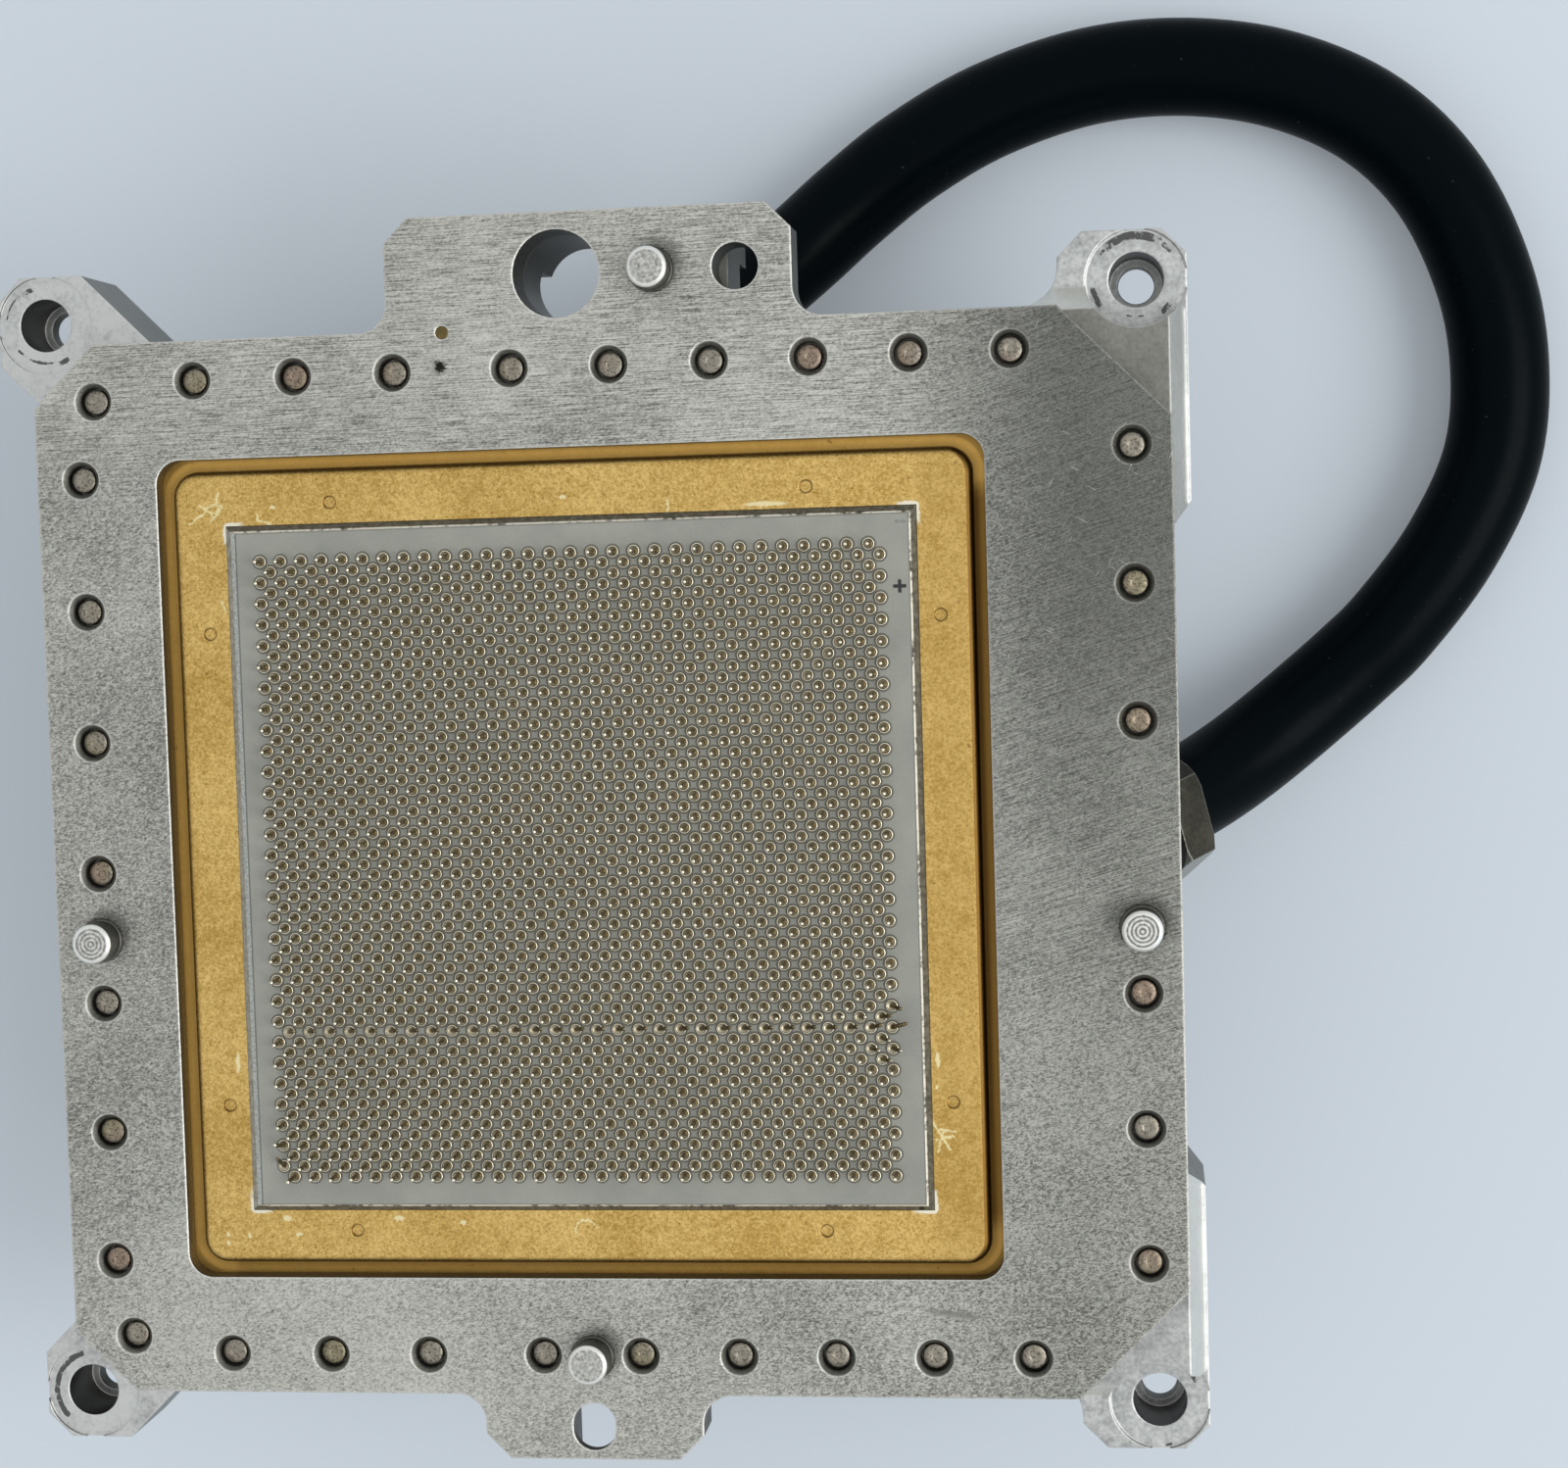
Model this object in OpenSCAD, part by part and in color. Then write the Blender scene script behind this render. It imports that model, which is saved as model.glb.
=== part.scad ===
// Water cooled multi-chip module: pin face up, resting on the back of its cold plate.
// Millimetres, +Z up. The origin is under the middle of the pin field, on the plane the module rests on.

/* [Pin field] */
// Spacing of the pins along a row
pin_pitch = 2.54; // [2.2:0.02:2.54]
// Rows of pins, every second row shifted by half a pitch
pin_rows = 60; // [20:2:60]
// Pins in each row
pins_per_row = 30; // [10:1:30]
// Diameter of a pin
pin_d = 0.5; // [0.4:0.05:0.8]
// Height of a pin above the ceramic face
pin_h = 2.3; // [1.5:0.1:3]
// Diameter of the brazed pad a pin stands on
pad_d = 1.5; // [1.2:0.05:1.6]
// Thickness of the pad
pad_t = 0.2; // [0.1:0.05:0.4]

/* [Ceramic substrate] */
// Side of the square pin face
face_w = 82; // [80:0.5:84]
// Side of the wider lower layers
ceramic_w = 90; // [88:0.5:92]
// Whole thickness of the ceramic
ceramic_t = 5.6; // [5:0.1:5.7]
// Height of the pin face above the ledge that carries the flange
pedestal_h = 3.6; // [3.2:0.1:4]
// Width of the braze fillet round the pin face
fillet_w = 0.9; // [0.5:0.1:1.5]

/* [Sealing flange] */
// Thickness of the flange sheet
flange_t = 1.2; // [0.8:0.1:1.4]
// Rise of the raised band above the groove floor
band_h = 1.4; // [0.8:0.1:1.6]
// Radius of the rounded shoulder on the band
shoulder_r = 1; // [0.5:0.1:1.2]
// Width of the groove between the band and the window wall
groove_w = 1.5; // [1:0.1:3]
// How far the rim reaches under the window lip
rim_w = 4; // [3:0.5:5]
// Diameter of the dimples in the band
dimple_d = 1.5; // [1:0.1:2]

/* [Base plate] */
// Reach of the plate to the left of the pin field centre
plate_left = 65; // [64:0.5:68]
// Reach of the plate to the right
plate_right = 71.75; // [70:0.25:74]
// Half of the plate's height
plate_half = 64.3; // [63.5:0.1:67]
// Thickness of the plate
plate_t = 5.8; // [5.8:0.1:8]
// Side of the square window
window_w = 100; // [98:0.5:102]
// Corner radius of the window
window_r = 3; // [2:0.5:4]
// Thickness of the lip round the window
lip_t = 2.4; // [2:0.1:2.5]
// Corner cut at the two left corners
cut_left = 7.6; // [5:0.2:9]
// Corner cut at the two right corners
cut_right = 13; // [8:0.5:15]

/* [Tabs] */
// Left edge of the top tab
tab_left = 20.8; // [20:0.2:24]
// Right edge of the top tab
tab_right = 28.1; // [27:0.1:32]
// Top edge of the top tab
tab_top = 77.7; // [77:0.1:82]
// Half width of the bottom tab
foot_half = 13.4; // [10:0.2:16]
// Bottom edge of the bottom tab
foot_end = 72.2; // [71.5:0.1:76]
// Corner cut of the tabs
tab_cut = 3; // [1:0.5:4]
// Radius where a tab meets the plate
tab_root_r = 3.5; // [1:0.5:5]
// Diameter of the large tab hole
tab_hole_d = 10.4; // [8:0.1:12]
// Diameter of the small tab hole
small_hole_d = 5.5; // [4.5:0.1:6]
// Width of the slot in the bottom tab
slot_w = 5.2; // [4.6:0.1:6]
// Length of the slot between its end centres
slot_run = 0.6; // [0.2:0.1:1.2]

/* [Clamp screws] */
// Distance of the screw lines from the centre, left, top and bottom
screw_line = 59.5; // [59:0.1:60.5]
// Distance of the right screw line
screw_line_right = 67.1; // [66.5:0.1:67.5]
// Spacing of the screws in the side columns
column_pitch = 16; // [14:0.5:17]
// Diameter of the screw thread
screw_d = 2.8; // [2.4:0.1:3]
// Diameter of the screw head
screw_head_d = 5.2; // [4.6:0.1:5.6]
// Height of the screw head
screw_head_h = 2.8; // [2:0.1:3.2]
// How far the screw end stays below the plate face
screw_drop = 1; // [0.5:0.1:1.5]
// Diameter of the countersink on the plate face
sink_d = 4.6; // [4.2:0.1:5.4]

/* [Dowel pins] */
// Diameter of the dowels
dowel_d = 4.8; // [4:0.1:5]
// Height of the dowel tips above the plate
dowel_h = 3.5; // [2:0.1:6]

/* [Housing] */
// Height of the housing behind the plate
hat_h = 18.2; // [17.6:0.1:24]
// Thickness of the housing flange
hat_flange_t = 6.2; // [5.5:0.1:6.5]
// Half size of the housing body, left, top and bottom
hat_half = 55; // [54:0.2:55.4]
// Right side of the housing body
hat_right = 62.5; // [61:0.5:63]
// Depth of the chip cavity below the housing face
cavity_h = 1.6; // [1.2:0.1:2]
// Distance of the lug holes from the centre, both ways
lug_at = 68; // [67:0.25:70]
// Width of the left lug arms
lug_arm_w = 15.5; // [14:0.5:17]
// Reach of the lug edges from the centre
lug_edge = 74; // [73.5:0.1:77]
// Bore of the lug holes
lug_hole_d = 4.4; // [3.6:0.1:5]
// Counterbore of the lug holes
lug_bore_d = 6.6; // [6:0.1:8]
// Depth of the counterbore
lug_bore_h = 8; // [5:0.5:9]
// Thickness of the seat under the screw head
lug_seat_t = 2; // [1.5:0.1:3]
// Diameter of the relief behind the seat
lug_relief_d = 9; // [8:0.5:10]

/* [Chips and pistons] */
// Chips along each side
chips_per_side = 10; // [6:1:10]
// Spacing of the chips
chip_pitch = 8; // [7.5:0.1:8.2]
// Side of a chip
chip_w = 4.6; // [3:0.1:5.5]
// Thickness of a chip with its solder
chip_t = 0.8; // [0.5:0.1:0.9]
// Diameter of a piston
piston_d = 5.6; // [4.5:0.1:6]
// Height of the pair of conical spring washers behind a piston
spring_h = 3.8; // [3:0.1:4.2]

/* [Cold plate] */
// Thickness of the cold plate body
cold_t = 28; // [26:0.5:32]
// Thickness of its cover
cover_t = 6; // [5.5:0.5:8]
// Half size of the cold plate, left, top and bottom
cold_half = 55; // [54:0.5:55]
// Width of the water channel
channel_w = 12; // [8:0.5:12]
// Depth of the water channel
channel_h = 22; // [18:0.5:22]
// Diameter of the cold plate screws
bolt_d = 5; // [4:0.5:6]

/* [Hose and fittings] */
// Outer diameter of the hose
hose_d = 12.7; // [11:0.1:14]
// Size of the hexagon across its flats
hex_af = 18; // [16:0.5:19]
// Length of the hexagon nut
hex_l = 5; // [4:0.5:6]
// Tilt of the hose tails below the horizontal
tail_tilt = 40; // [30:1:42]
// Bore of the fittings
fitting_bore = 7; // [5:0.5:8]

/* [Hidden] */
$fn = 48;
over = 0.05;

// Clearances
pocket_gap = 0.3;
thread_gap = 0.05;
free_gap = 0.3;
dowel_gap = 0.01;
dowel_step = 0.2;
piston_gap = 0.1;
head_gap = 0.5;

// Levels, from the resting plane upwards
z_cold = cover_t;
z_hat = z_cold + cold_t;
z_plate = z_hat + hat_h;
z_front = z_plate + plate_t;
z_flange_back = z_plate - hat_flange_t;
z_lip = z_front - lip_t;
z_rim = z_lip - flange_t;
z_band = z_lip + band_h;
z_ledge = z_front - pedestal_h;
z_ceramic = z_front - ceramic_t;
z_chip = z_ceramic - chip_t;
z_cavity = z_plate - cavity_h;
z_lug = z_flange_back;
lug_t = z_lug - z_hat;

// Sealing parts
window_half = window_w / 2;
rim_half = window_half + rim_w;
band_half = window_half - groove_w;
band_corner_r = 2;
fillet_h = z_front - z_band;
fillet_foot_w = face_w + 2 * fillet_w;
seal_r = (z_rim - z_plate) / 2;
seal_half = (ceramic_w / 2 + rim_half) / 2 + seal_r;
seal_corner_r = 5;
dimple_out = 44.4;
dimple_aside = 28.9;
dimple_h = 0.3;

// Holes in the tabs and dowel places
tab_hole_inset = 7.3;
tab_line = tab_top - tab_hole_inset;
small_hole_x = 21.4;
slot_inset = 4;
slot_at = foot_end - slot_inset;
slot_lip = 1.2;
slot_gap = 0.2;
plug_inset = 0.3;
plug_at = [-14, plate_half - plug_inset];
plug_d = 1.6;
plug_l = 2.5;
dowel_top_at = [11.4, tab_line];
dowel_left_at = [-screw_line, -8.2];
dowel_right_at = [screw_line_right, -8.2];
dowel_bottom_at = [0, -screw_line - 0.2];
shank_d = dowel_d + 2 * dowel_step;

// Screw places
row_x = [-45, -32.5, -20.25, -6, 6, 18, 29.75, 41.5, 53.25];
corner_screw = screw_line - 2;
screw_at = concat(
    [for (x = row_x, s = [1, -1]) [x, s * screw_line]],
    [for (s = [1, -1]) [-corner_screw, s * (corner_screw - 0.1)]],
    [for (k = [-3 : 3]) [-screw_line, k * column_pitch]],
    [for (k = [-3, -2, -1, 1, 2, 3]) [screw_line_right, k * column_pitch]]);
sink_h = 0.6;
gap_d = screw_d + 0.8;
gap_h = 2.4;
tip_cut = 0.3;
socket_d = 2.4;
socket_h = 1.6;

// Housing details
hat_tab_left = 12;
hat_tab_right = 19.8;
hat_tab_inset = 1.7;
hat_tab_top = tab_top - hat_tab_inset;
hat_tab_lap = 1.3;
hat_tab_start = plate_half - hat_tab_lap;
hat_tab_t = 9.7;
hat_lip_w = 3.7;
hat_lip_start = hat_tab_top - hat_lip_w;
hat_lip_t = 15.2;
lug_cut = 3;
arm_start = 52;
block_left = 58.6;
block_root_r = 6;
rib_in = 70.3;
rib_end = 38.5;
ramp_run = 3.1;
rib_ramp_run = 1.85;
ramp_foot = 1;
block_lap = 10.3;
block_foot = plate_half - block_lap;
cavity_gap = 1;
spot_d = 12.2;
spot_h = 0.3;

// Chip and piston stack
piston_l = 9;
crown_w = 1.2;
crown_h = 0.6;
bore_floor = z_chip - piston_l - spring_h;
piston_bore_d = piston_d + 2 * piston_gap;
spring_in_r = 1;
spring_wall = 0.5;
spring_out_r = piston_d / 2 - 0.1;
chip_first = -(chips_per_side - 1) / 2 * chip_pitch;
chip_line = [for (k = [0 : chips_per_side - 1]) chip_first + k * chip_pitch];

// Cold plate details
cold_right = cold_half + 1.3;
bolt_inset = 8;
bolt_at = cold_half - bolt_inset;
bolt_head_d = 1.7 * bolt_d;
bolt_head_h = 0.8 * bolt_d;
bolt_sink = 0.5;
bolt_seat = bolt_sink + bolt_head_h;
bolt_grip = 8;
bolt_reach = bolt_grip - 1;
bolt_socket_d = 0.9 * bolt_d;
run_inset = 19;
run_at = cold_half - run_inset;
run_mid = run_at / 3;

// Fittings: where each elbow turns, and the way its tail points
port_drop = 7.5;
port_z = z_cold + cold_t - port_drop;
neck_l = 5.5;
neck_d = 11;
elbow_d = 12;
thread_d = 10;
thread_l = 9;
turn_more = 0.6;
hex_edge = 0.6;
hex_cut = 1;
hex_cut_h = 0.6;
hex_roll = 13;
hex_turned_r = hex_af / 2 + hex_edge;
side_turn = [cold_right + neck_l, -0.9, port_z];
side_yaw = 22;
top_turn = [5, cold_half + neck_l, port_z];
top_yaw = 42;
tail_l = elbow_d / 2 + 0.1;
side_way = way(side_yaw);
top_way = way(top_yaw);
side_end = side_turn + (tail_l + hex_l) * side_way;
top_end = top_turn + (tail_l + hex_l) * top_way;

// Hose route, chosen by hand: out of the side nut, down to the resting plane, round, and up to the top nut
rest_z = hose_d / 2 + 0.05;
lead = 4;
route = [
    side_end,
    side_end + lead * side_way,
    [76.1, 5.2, 13.8],
    [80.1, 7.6, 11],
    [84.5, 10.7, 8.7],
    [89.7, 14.8, 7.1],
    [95.5, 19.7, rest_z],
    [101, 25, rest_z],
    [108.5, 34.8, rest_z],
    [114, 46.3, rest_z],
    [115.3, 58, rest_z],
    [113.5, 70, rest_z],
    [108, 82.4, rest_z],
    [99.4, 91.5, rest_z],
    [88, 97.2, rest_z],
    [75.3, 99.6, rest_z],
    [62.3, 99, rest_z],
    [49.2, 95.2, rest_z],
    [38.5, 89.6, rest_z],
    [30.5, 83.7, 6.7],
    [24.1, 78, 8.4],
    [18.3, 72.7, 12],
    top_end + lead * top_way,
    top_end];
hose_sides = 12;
hose_steps = 3;

// The way a hose tail points for a turn about Z, tilted down
function way(yaw) = [cos(tail_tilt) * cos(yaw), cos(tail_tilt) * sin(yaw), -sin(tail_tilt)];

// Smooth curve through four route points, t from 0 to 1 between the middle two
function along(a, b, c, d, t) =
    0.5 * (2 * b + (c - a) * t + (2 * a - 5 * b + 4 * c - d) * t * t
           + (3 * b - a - 3 * c + d) * t * t * t);

// Route points with a mirrored one added before the first and after the last
function padded(p) = concat([2 * p[0] - p[1]], p, [2 * p[len(p) - 1] - p[len(p) - 2]]);

// Centres of the rings of the hose
function centres(q) = concat(
    [for (i = [1 : len(q) - 3], k = [0 : hose_steps - 1])
        along(q[i - 1], q[i], q[i + 1], q[i + 2], k / hose_steps)],
    [q[len(q) - 2]]);

function unit(v) = v / norm(v);

// The way the hose runs at ring i
function heading(c, i) =
    i == 0 ? side_way :
    i == len(c) - 1 ? -top_way :
    unit(c[i + 1] - c[i - 1]);

// One ring of the hose, square to its heading
function ring(p, t) =
    let (n = unit(cross(t, [0, 0, 1])), b = cross(n, t))
    [for (k = [0 : hose_sides - 1])
        p + hose_d / 2 * (cos(360 * k / hose_sides) * n + sin(360 * k / hose_sides) * b)];

// Square with rounded corners, centred
module round_square(half, r) {
    square([2 * half, 2 * (half - r)], center = true);
    square([2 * (half - r), 2 * half], center = true);
    for (x = [-1, 1], y = [-1, 1])
        translate([x * (half - r), y * (half - r)])
            circle(r);
}

// Carries a profile round a square path with rounded corners, profile x outwards and y upwards
module frame_sweep(half, r) {
    for (k = [0 : 3])
        rotate([0, 0, 90 * k]) {
            translate([half, half - r, 0])
                rotate([90, 0, 0])
                    linear_extrude(2 * (half - r))
                        children();
            translate([half - r, half - r, 0])
                rotate_extrude(angle = 90)
                    translate([r, 0])
                        children();
        }
}

// Fills the inner corner between two walls along +x and +y
module root_fill(r) {
    difference() {
        translate([-over, -over])
            square(r + over);
        translate([r, r])
            circle(r);
    }
}

// Rectangle with its four corners cut, left and right by different amounts
module cut_rectangle(x0, x1, half, c0, c1) {
    polygon([
        [x0, -half + c0], [x0 + c0, -half], [x1 - c1, -half], [x1, -half + c1],
        [x1, half - c1], [x1 - c1, half], [x0 + c0, half], [x0, half - c0]]);
}

// Outline of the base plate with its two tabs
module plate_outline() {
    cut_rectangle(-plate_left, plate_right, plate_half, cut_left, cut_right);
    polygon([
        [-tab_left, 0], [tab_right, 0], [tab_right, tab_top - tab_cut], [tab_right - tab_cut, tab_top],
        [tab_cut - tab_left, tab_top], [-tab_left, tab_top - tab_cut]]);
    polygon([
        [foot_half, 0], [-foot_half, 0], [-foot_half, tab_cut - foot_end], [tab_cut - foot_half, -foot_end],
        [foot_half - tab_cut, -foot_end], [foot_half, tab_cut - foot_end]]);
    translate([tab_right, plate_half])
        root_fill(tab_root_r);
    translate([-tab_left, plate_half])
        mirror([1, 0])
            root_fill(tab_root_r);
    for (s = [0, 1])
        mirror([s, 0])
            translate([foot_half, -plate_half])
                mirror([0, 1])
                    root_fill(tab_root_r);
}

module base_plate() {
    color("silver")
    difference() {
        translate([0, 0, z_plate])
            linear_extrude(plate_t)
                difference() {
                    plate_outline();
                    round_square(window_half, window_r);
                    translate([0, tab_line])
                        circle(d = tab_hole_d);
                    translate([small_hole_x, tab_line])
                        circle(d = small_hole_d);
                    for (s = [-1, 1])
                        translate([0, s * slot_run / 2 - slot_at])
                            circle(d = slot_w);
                    translate([0, -slot_at])
                        square([slot_w, slot_run], center = true);
                    for (p = [dowel_top_at, dowel_left_at, dowel_right_at, dowel_bottom_at])
                        translate(p)
                            circle(d = shank_d + 2 * dowel_gap);
                    for (p = screw_at)
                        translate(p)
                            circle(d = screw_d + 2 * thread_gap);
                }
        translate([0, 0, z_plate - over])
            linear_extrude(z_lip - z_plate + over)
                round_square(rim_half + pocket_gap, window_r);
        for (p = screw_at)
            translate([p[0], p[1], z_front])
                rotate_extrude()
                    polygon([
                        [0, over], [sink_d / 2, over], [sink_d / 2, 0], [gap_d / 2, -sink_h],
                        [gap_d / 2, -gap_h], [0, -gap_h]]);
        translate([plug_at[0], plug_at[1], z_front - plug_l])
            cylinder(d = plug_d, h = plug_l + over);
        translate([-slot_w / 2 - slot_gap, -foot_end - over, z_plate - over])
            cube([
                slot_w + 2 * slot_gap, slot_inset + (slot_w + slot_run) / 2 + slot_gap,
                plate_t - slot_lip + over]);
    }
}

module substrate_flange() {
    color("gold")
    difference() {
        union() {
            translate([0, 0, z_rim])
                linear_extrude(flange_t)
                    round_square(rim_half, window_r);
            translate([0, 0, z_lip - over])
                linear_extrude(band_h + over)
                    round_square(band_half - shoulder_r, band_corner_r);
            translate([0, 0, z_lip - over])
                frame_sweep(band_half - shoulder_r, band_corner_r)
                    shoulder_profile();
        }
        translate([0, 0, z_rim - over])
            linear_extrude(flange_t + band_h + 2 * over)
                square(face_w, center = true);
        for (k = [0 : 3], s = [-1, 1])
            rotate([0, 0, 90 * k])
                translate([dimple_out, s * dimple_aside, z_band - dimple_h])
                    cylinder(d = dimple_d, h = dimple_h + over);
    }
}

// Section of the rounded shoulder, standing on the flange sheet
module shoulder_profile() {
    translate([-over, 0])
        square([over + shoulder_r, band_h + over - shoulder_r]);
    intersection() {
        translate([0, band_h + over - shoulder_r])
            circle(shoulder_r);
        translate([-over, 0])
            square([over + shoulder_r, band_h + over]);
    }
}

module ceramic_substrate() {
    color("gray")
    union() {
        translate([0, 0, z_ceramic])
            linear_extrude(z_ledge - z_ceramic)
                square(ceramic_w, center = true);
        translate([0, 0, z_ceramic])
            linear_extrude(ceramic_t)
                square(face_w, center = true);
    }
}

module braze_fillet() {
    color("lightgray")
    translate([0, 0, z_band])
        difference() {
            linear_extrude(fillet_h, scale = face_w / fillet_foot_w)
                square(fillet_foot_w, center = true);
            translate([0, 0, -over])
                linear_extrude(fillet_h + 2 * over)
                    square(face_w, center = true);
        }
}

// Places of the pins in half h, 0 upper or 1 lower: every second row is shifted by half a pitch
module pin_pattern(h, d) {
    for (r = [h * pin_rows / 2 : (h + 1) * pin_rows / 2 - 1], c = [0 : pins_per_row - 1])
        translate([
            (c - (pins_per_row - 0.5) / 2 + (r % 2) / 2) * pin_pitch,
            ((pin_rows - 1) / 2 - r) * pin_pitch / 2])
            circle(d = d, $fn = 24);
}

// One half of the brazed pads
module pads(h) {
    color("goldenrod")
    translate([0, 0, z_front])
        linear_extrude(pad_t)
            pin_pattern(h, pad_d);
}

// One half of the pins, standing on their pads
module pins(h) {
    color("gold")
    translate([0, 0, z_front + pad_t])
        linear_extrude(pin_h - pad_t)
            pin_pattern(h, pin_d);
}

module pin_pads_upper() {
    pads(0);
}

module pin_pads_lower() {
    pads(1);
}

module contact_pins_upper() {
    pins(0);
}

module contact_pins_lower() {
    pins(1);
}

module chips() {
    color("darkslategray")
    translate([0, 0, z_chip])
        linear_extrude(chip_t)
            for (x = chip_line, y = chip_line)
                translate([x, y])
                    square(chip_w, center = true);
}

module pistons() {
    color("lightgray")
    for (x = chip_line, y = chip_line)
        translate([x, y, z_chip - piston_l])
            rotate_extrude()
                polygon([
                    [0, 0], [piston_d / 2, 0], [piston_d / 2, piston_l - crown_h],
                    [piston_d / 2 - crown_w, piston_l], [0, piston_l]]);
}

module piston_springs() {
    color("slategray")
    for (x = chip_line, y = chip_line)
        translate([x, y, bore_floor])
            rotate_extrude()
                polygon([
                    [spring_in_r, 0], [spring_in_r + spring_wall, 0], [spring_out_r, spring_h / 2],
                    [spring_in_r + spring_wall, spring_h], [spring_in_r, spring_h],
                    [spring_out_r - spring_wall, spring_h / 2]]);
}

// Outline of one left lug arm, running out to the corner
module arm_outline() {
    intersection() {
        rotate([0, 0, 135])
            translate([arm_start * sqrt(2), -lug_arm_w / 2])
                square([2 * lug_edge, lug_arm_w]);
        polygon([
            [0, 0], [-lug_edge, 0], [-lug_edge, lug_edge - lug_cut], [lug_cut - lug_edge, lug_edge],
            [0, lug_edge]]);
    }
}

// Outline of one right lug block with the rib along the right side
module block_outline() {
    polygon([
        [block_left, block_foot], [block_left, lug_edge - lug_cut], [block_left + lug_cut, lug_edge],
        [lug_edge - lug_cut, lug_edge], [lug_edge, lug_edge - lug_cut], [lug_edge, rib_end + lug_cut],
        [plate_right, rib_end], [rib_in, rib_end], [rib_in, block_foot]]);
    translate([block_left, plate_half])
        mirror([1, 0])
            root_fill(block_root_r);
}

module housing() {
    color("gainsboro")
    difference() {
        union() {
            translate([0, 0, z_flange_back])
                linear_extrude(hat_flange_t)
                    cut_rectangle(-plate_left, plate_right, plate_half, cut_left, over);
            translate([-hat_half, -hat_half, z_hat])
                cube([hat_half + hat_right, 2 * hat_half, z_plate - z_hat - over]);
            for (s = [0, 1])
                mirror([0, s, 0])
                    lugs();
            translate([-hat_tab_left, hat_tab_start, z_plate - hat_tab_t])
                cube([hat_tab_left + hat_tab_right, hat_tab_top - hat_tab_start, hat_tab_t]);
            translate([-hat_tab_left, hat_lip_start, z_plate - hat_lip_t])
                cube([hat_tab_left + hat_tab_right, hat_tab_top - hat_lip_start, hat_lip_t]);
        }
        translate([0, 0, z_cavity])
            linear_extrude(cavity_h + over)
                round_square(ceramic_w / 2 + cavity_gap, window_r);
        translate([0, 0, bore_floor])
            linear_extrude(z_plate - bore_floor)
                for (x = chip_line, y = chip_line)
                    translate([x, y])
                        circle(d = piston_bore_d);
        for (p = screw_at)
            translate([p[0], p[1], z_hat - over]) {
                cylinder(d = screw_d + 2 * free_gap, h = hat_h + 2 * over);
                cylinder(d = screw_head_d + 2 * head_gap, h = z_flange_back - z_hat + over);
            }
        for (p = [dowel_top_at, dowel_left_at, dowel_right_at, dowel_bottom_at])
            translate([p[0], p[1], z_hat - over])
                cylinder(d = shank_d + 2 * dowel_gap, h = hat_h + 2 * over);
        translate([0, tab_line, z_hat - over])
            cylinder(d = tab_hole_d, h = hat_h + 2 * over);
        for (x = [-1, 1], y = [-1, 1])
            translate([x * lug_at, y * lug_at, z_hat - over]) {
                cylinder(d = lug_hole_d, h = lug_t + 2 * over);
                cylinder(d = lug_relief_d, h = lug_t - lug_bore_h - lug_seat_t + over);
                translate([0, 0, lug_t - lug_bore_h + over])
                    cylinder(d = lug_bore_d, h = lug_bore_h + over);
                translate([0, 0, lug_t - spot_h + over])
                    cylinder(d = spot_d, h = spot_h + hat_flange_t + over);
            }
        for (x = [-1, 1], y = [-1, 1])
            translate([x * bolt_at, y * bolt_at, z_hat - over])
                cylinder(d = bolt_d + 2 * thread_gap, h = bolt_grip + over);
    }
}

// The two lugs of the upper half, with the ramps that carry them into the flange
module lugs() {
    translate([0, 0, z_hat])
        linear_extrude(lug_t)
            arm_outline();
    translate([0, 0, z_hat])
        linear_extrude(lug_t)
            block_outline();
    intersection() {
        union() {
            translate([block_left - block_root_r, plate_half, z_lug])
                rotate([90, 0, 90])
                    linear_extrude(plate_right - block_left + block_root_r)
                        ramp_profile(ramp_run);
            translate([plate_right, plate_half, z_lug])
                rotate([90, 0, 0])
                    linear_extrude(plate_half - rib_end)
                        ramp_profile(rib_ramp_run);
        }
        translate([0, 0, z_hat])
            linear_extrude(hat_h)
                block_outline();
    }
}

// Section of a ramp: from the lug face up to the flange face, with a foot inside the flange
module ramp_profile(run) {
    polygon([
        [-ramp_foot, -over], [run, -over], [run, 0], [0, hat_flange_t - over], [-ramp_foot, ramp_foot]]);
}

module seal_ring() {
    color("dimgray")
    translate([0, 0, z_plate])
        frame_sweep(seal_half, seal_corner_r)
            translate([0, seal_r])
                circle(seal_r, $fn = 24);
}

module clamp_screws() {
    color("peru")
    for (p = screw_at)
        translate([p[0], p[1], z_flange_back])
            difference() {
                rotate_extrude()
                    polygon([
                        [0, -screw_head_h], [screw_head_d / 2 - tip_cut, -screw_head_h],
                        [screw_head_d / 2, tip_cut - screw_head_h], [screw_head_d / 2, 0],
                        [screw_d / 2, 0],
                        [screw_d / 2, z_front - z_flange_back - screw_drop - tip_cut],
                        [screw_d / 2 - tip_cut, z_front - z_flange_back - screw_drop],
                        [0, z_front - z_flange_back - screw_drop]]);
                translate([0, 0, -screw_head_h - over])
                    cylinder(d = socket_d, h = socket_h + over, $fn = 6);
            }
}

// One dowel through the plate and the housing flange
module dowel(p) {
    color("darkgray")
    translate([p[0], p[1], z_flange_back])
        rotate_extrude()
            polygon([
                [0, 0], [shank_d / 2, 0], [shank_d / 2, z_front - z_flange_back],
                [dowel_d / 2, z_front - z_flange_back],
                [dowel_d / 2, z_front - z_flange_back + dowel_h - tip_cut],
                [dowel_d / 2 - tip_cut, z_front - z_flange_back + dowel_h],
                [0, z_front - z_flange_back + dowel_h]]);
}

module dowel_top() {
    dowel(dowel_top_at);
}

module dowel_left() {
    dowel(dowel_left_at);
}

module dowel_right() {
    dowel(dowel_right_at);
}

module dowel_bottom() {
    dowel(dowel_bottom_at);
}

module tab_plug() {
    color("darkkhaki")
    translate([plug_at[0], plug_at[1], z_front - plug_l])
        cylinder(d = plug_d, h = plug_l);
}

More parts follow.
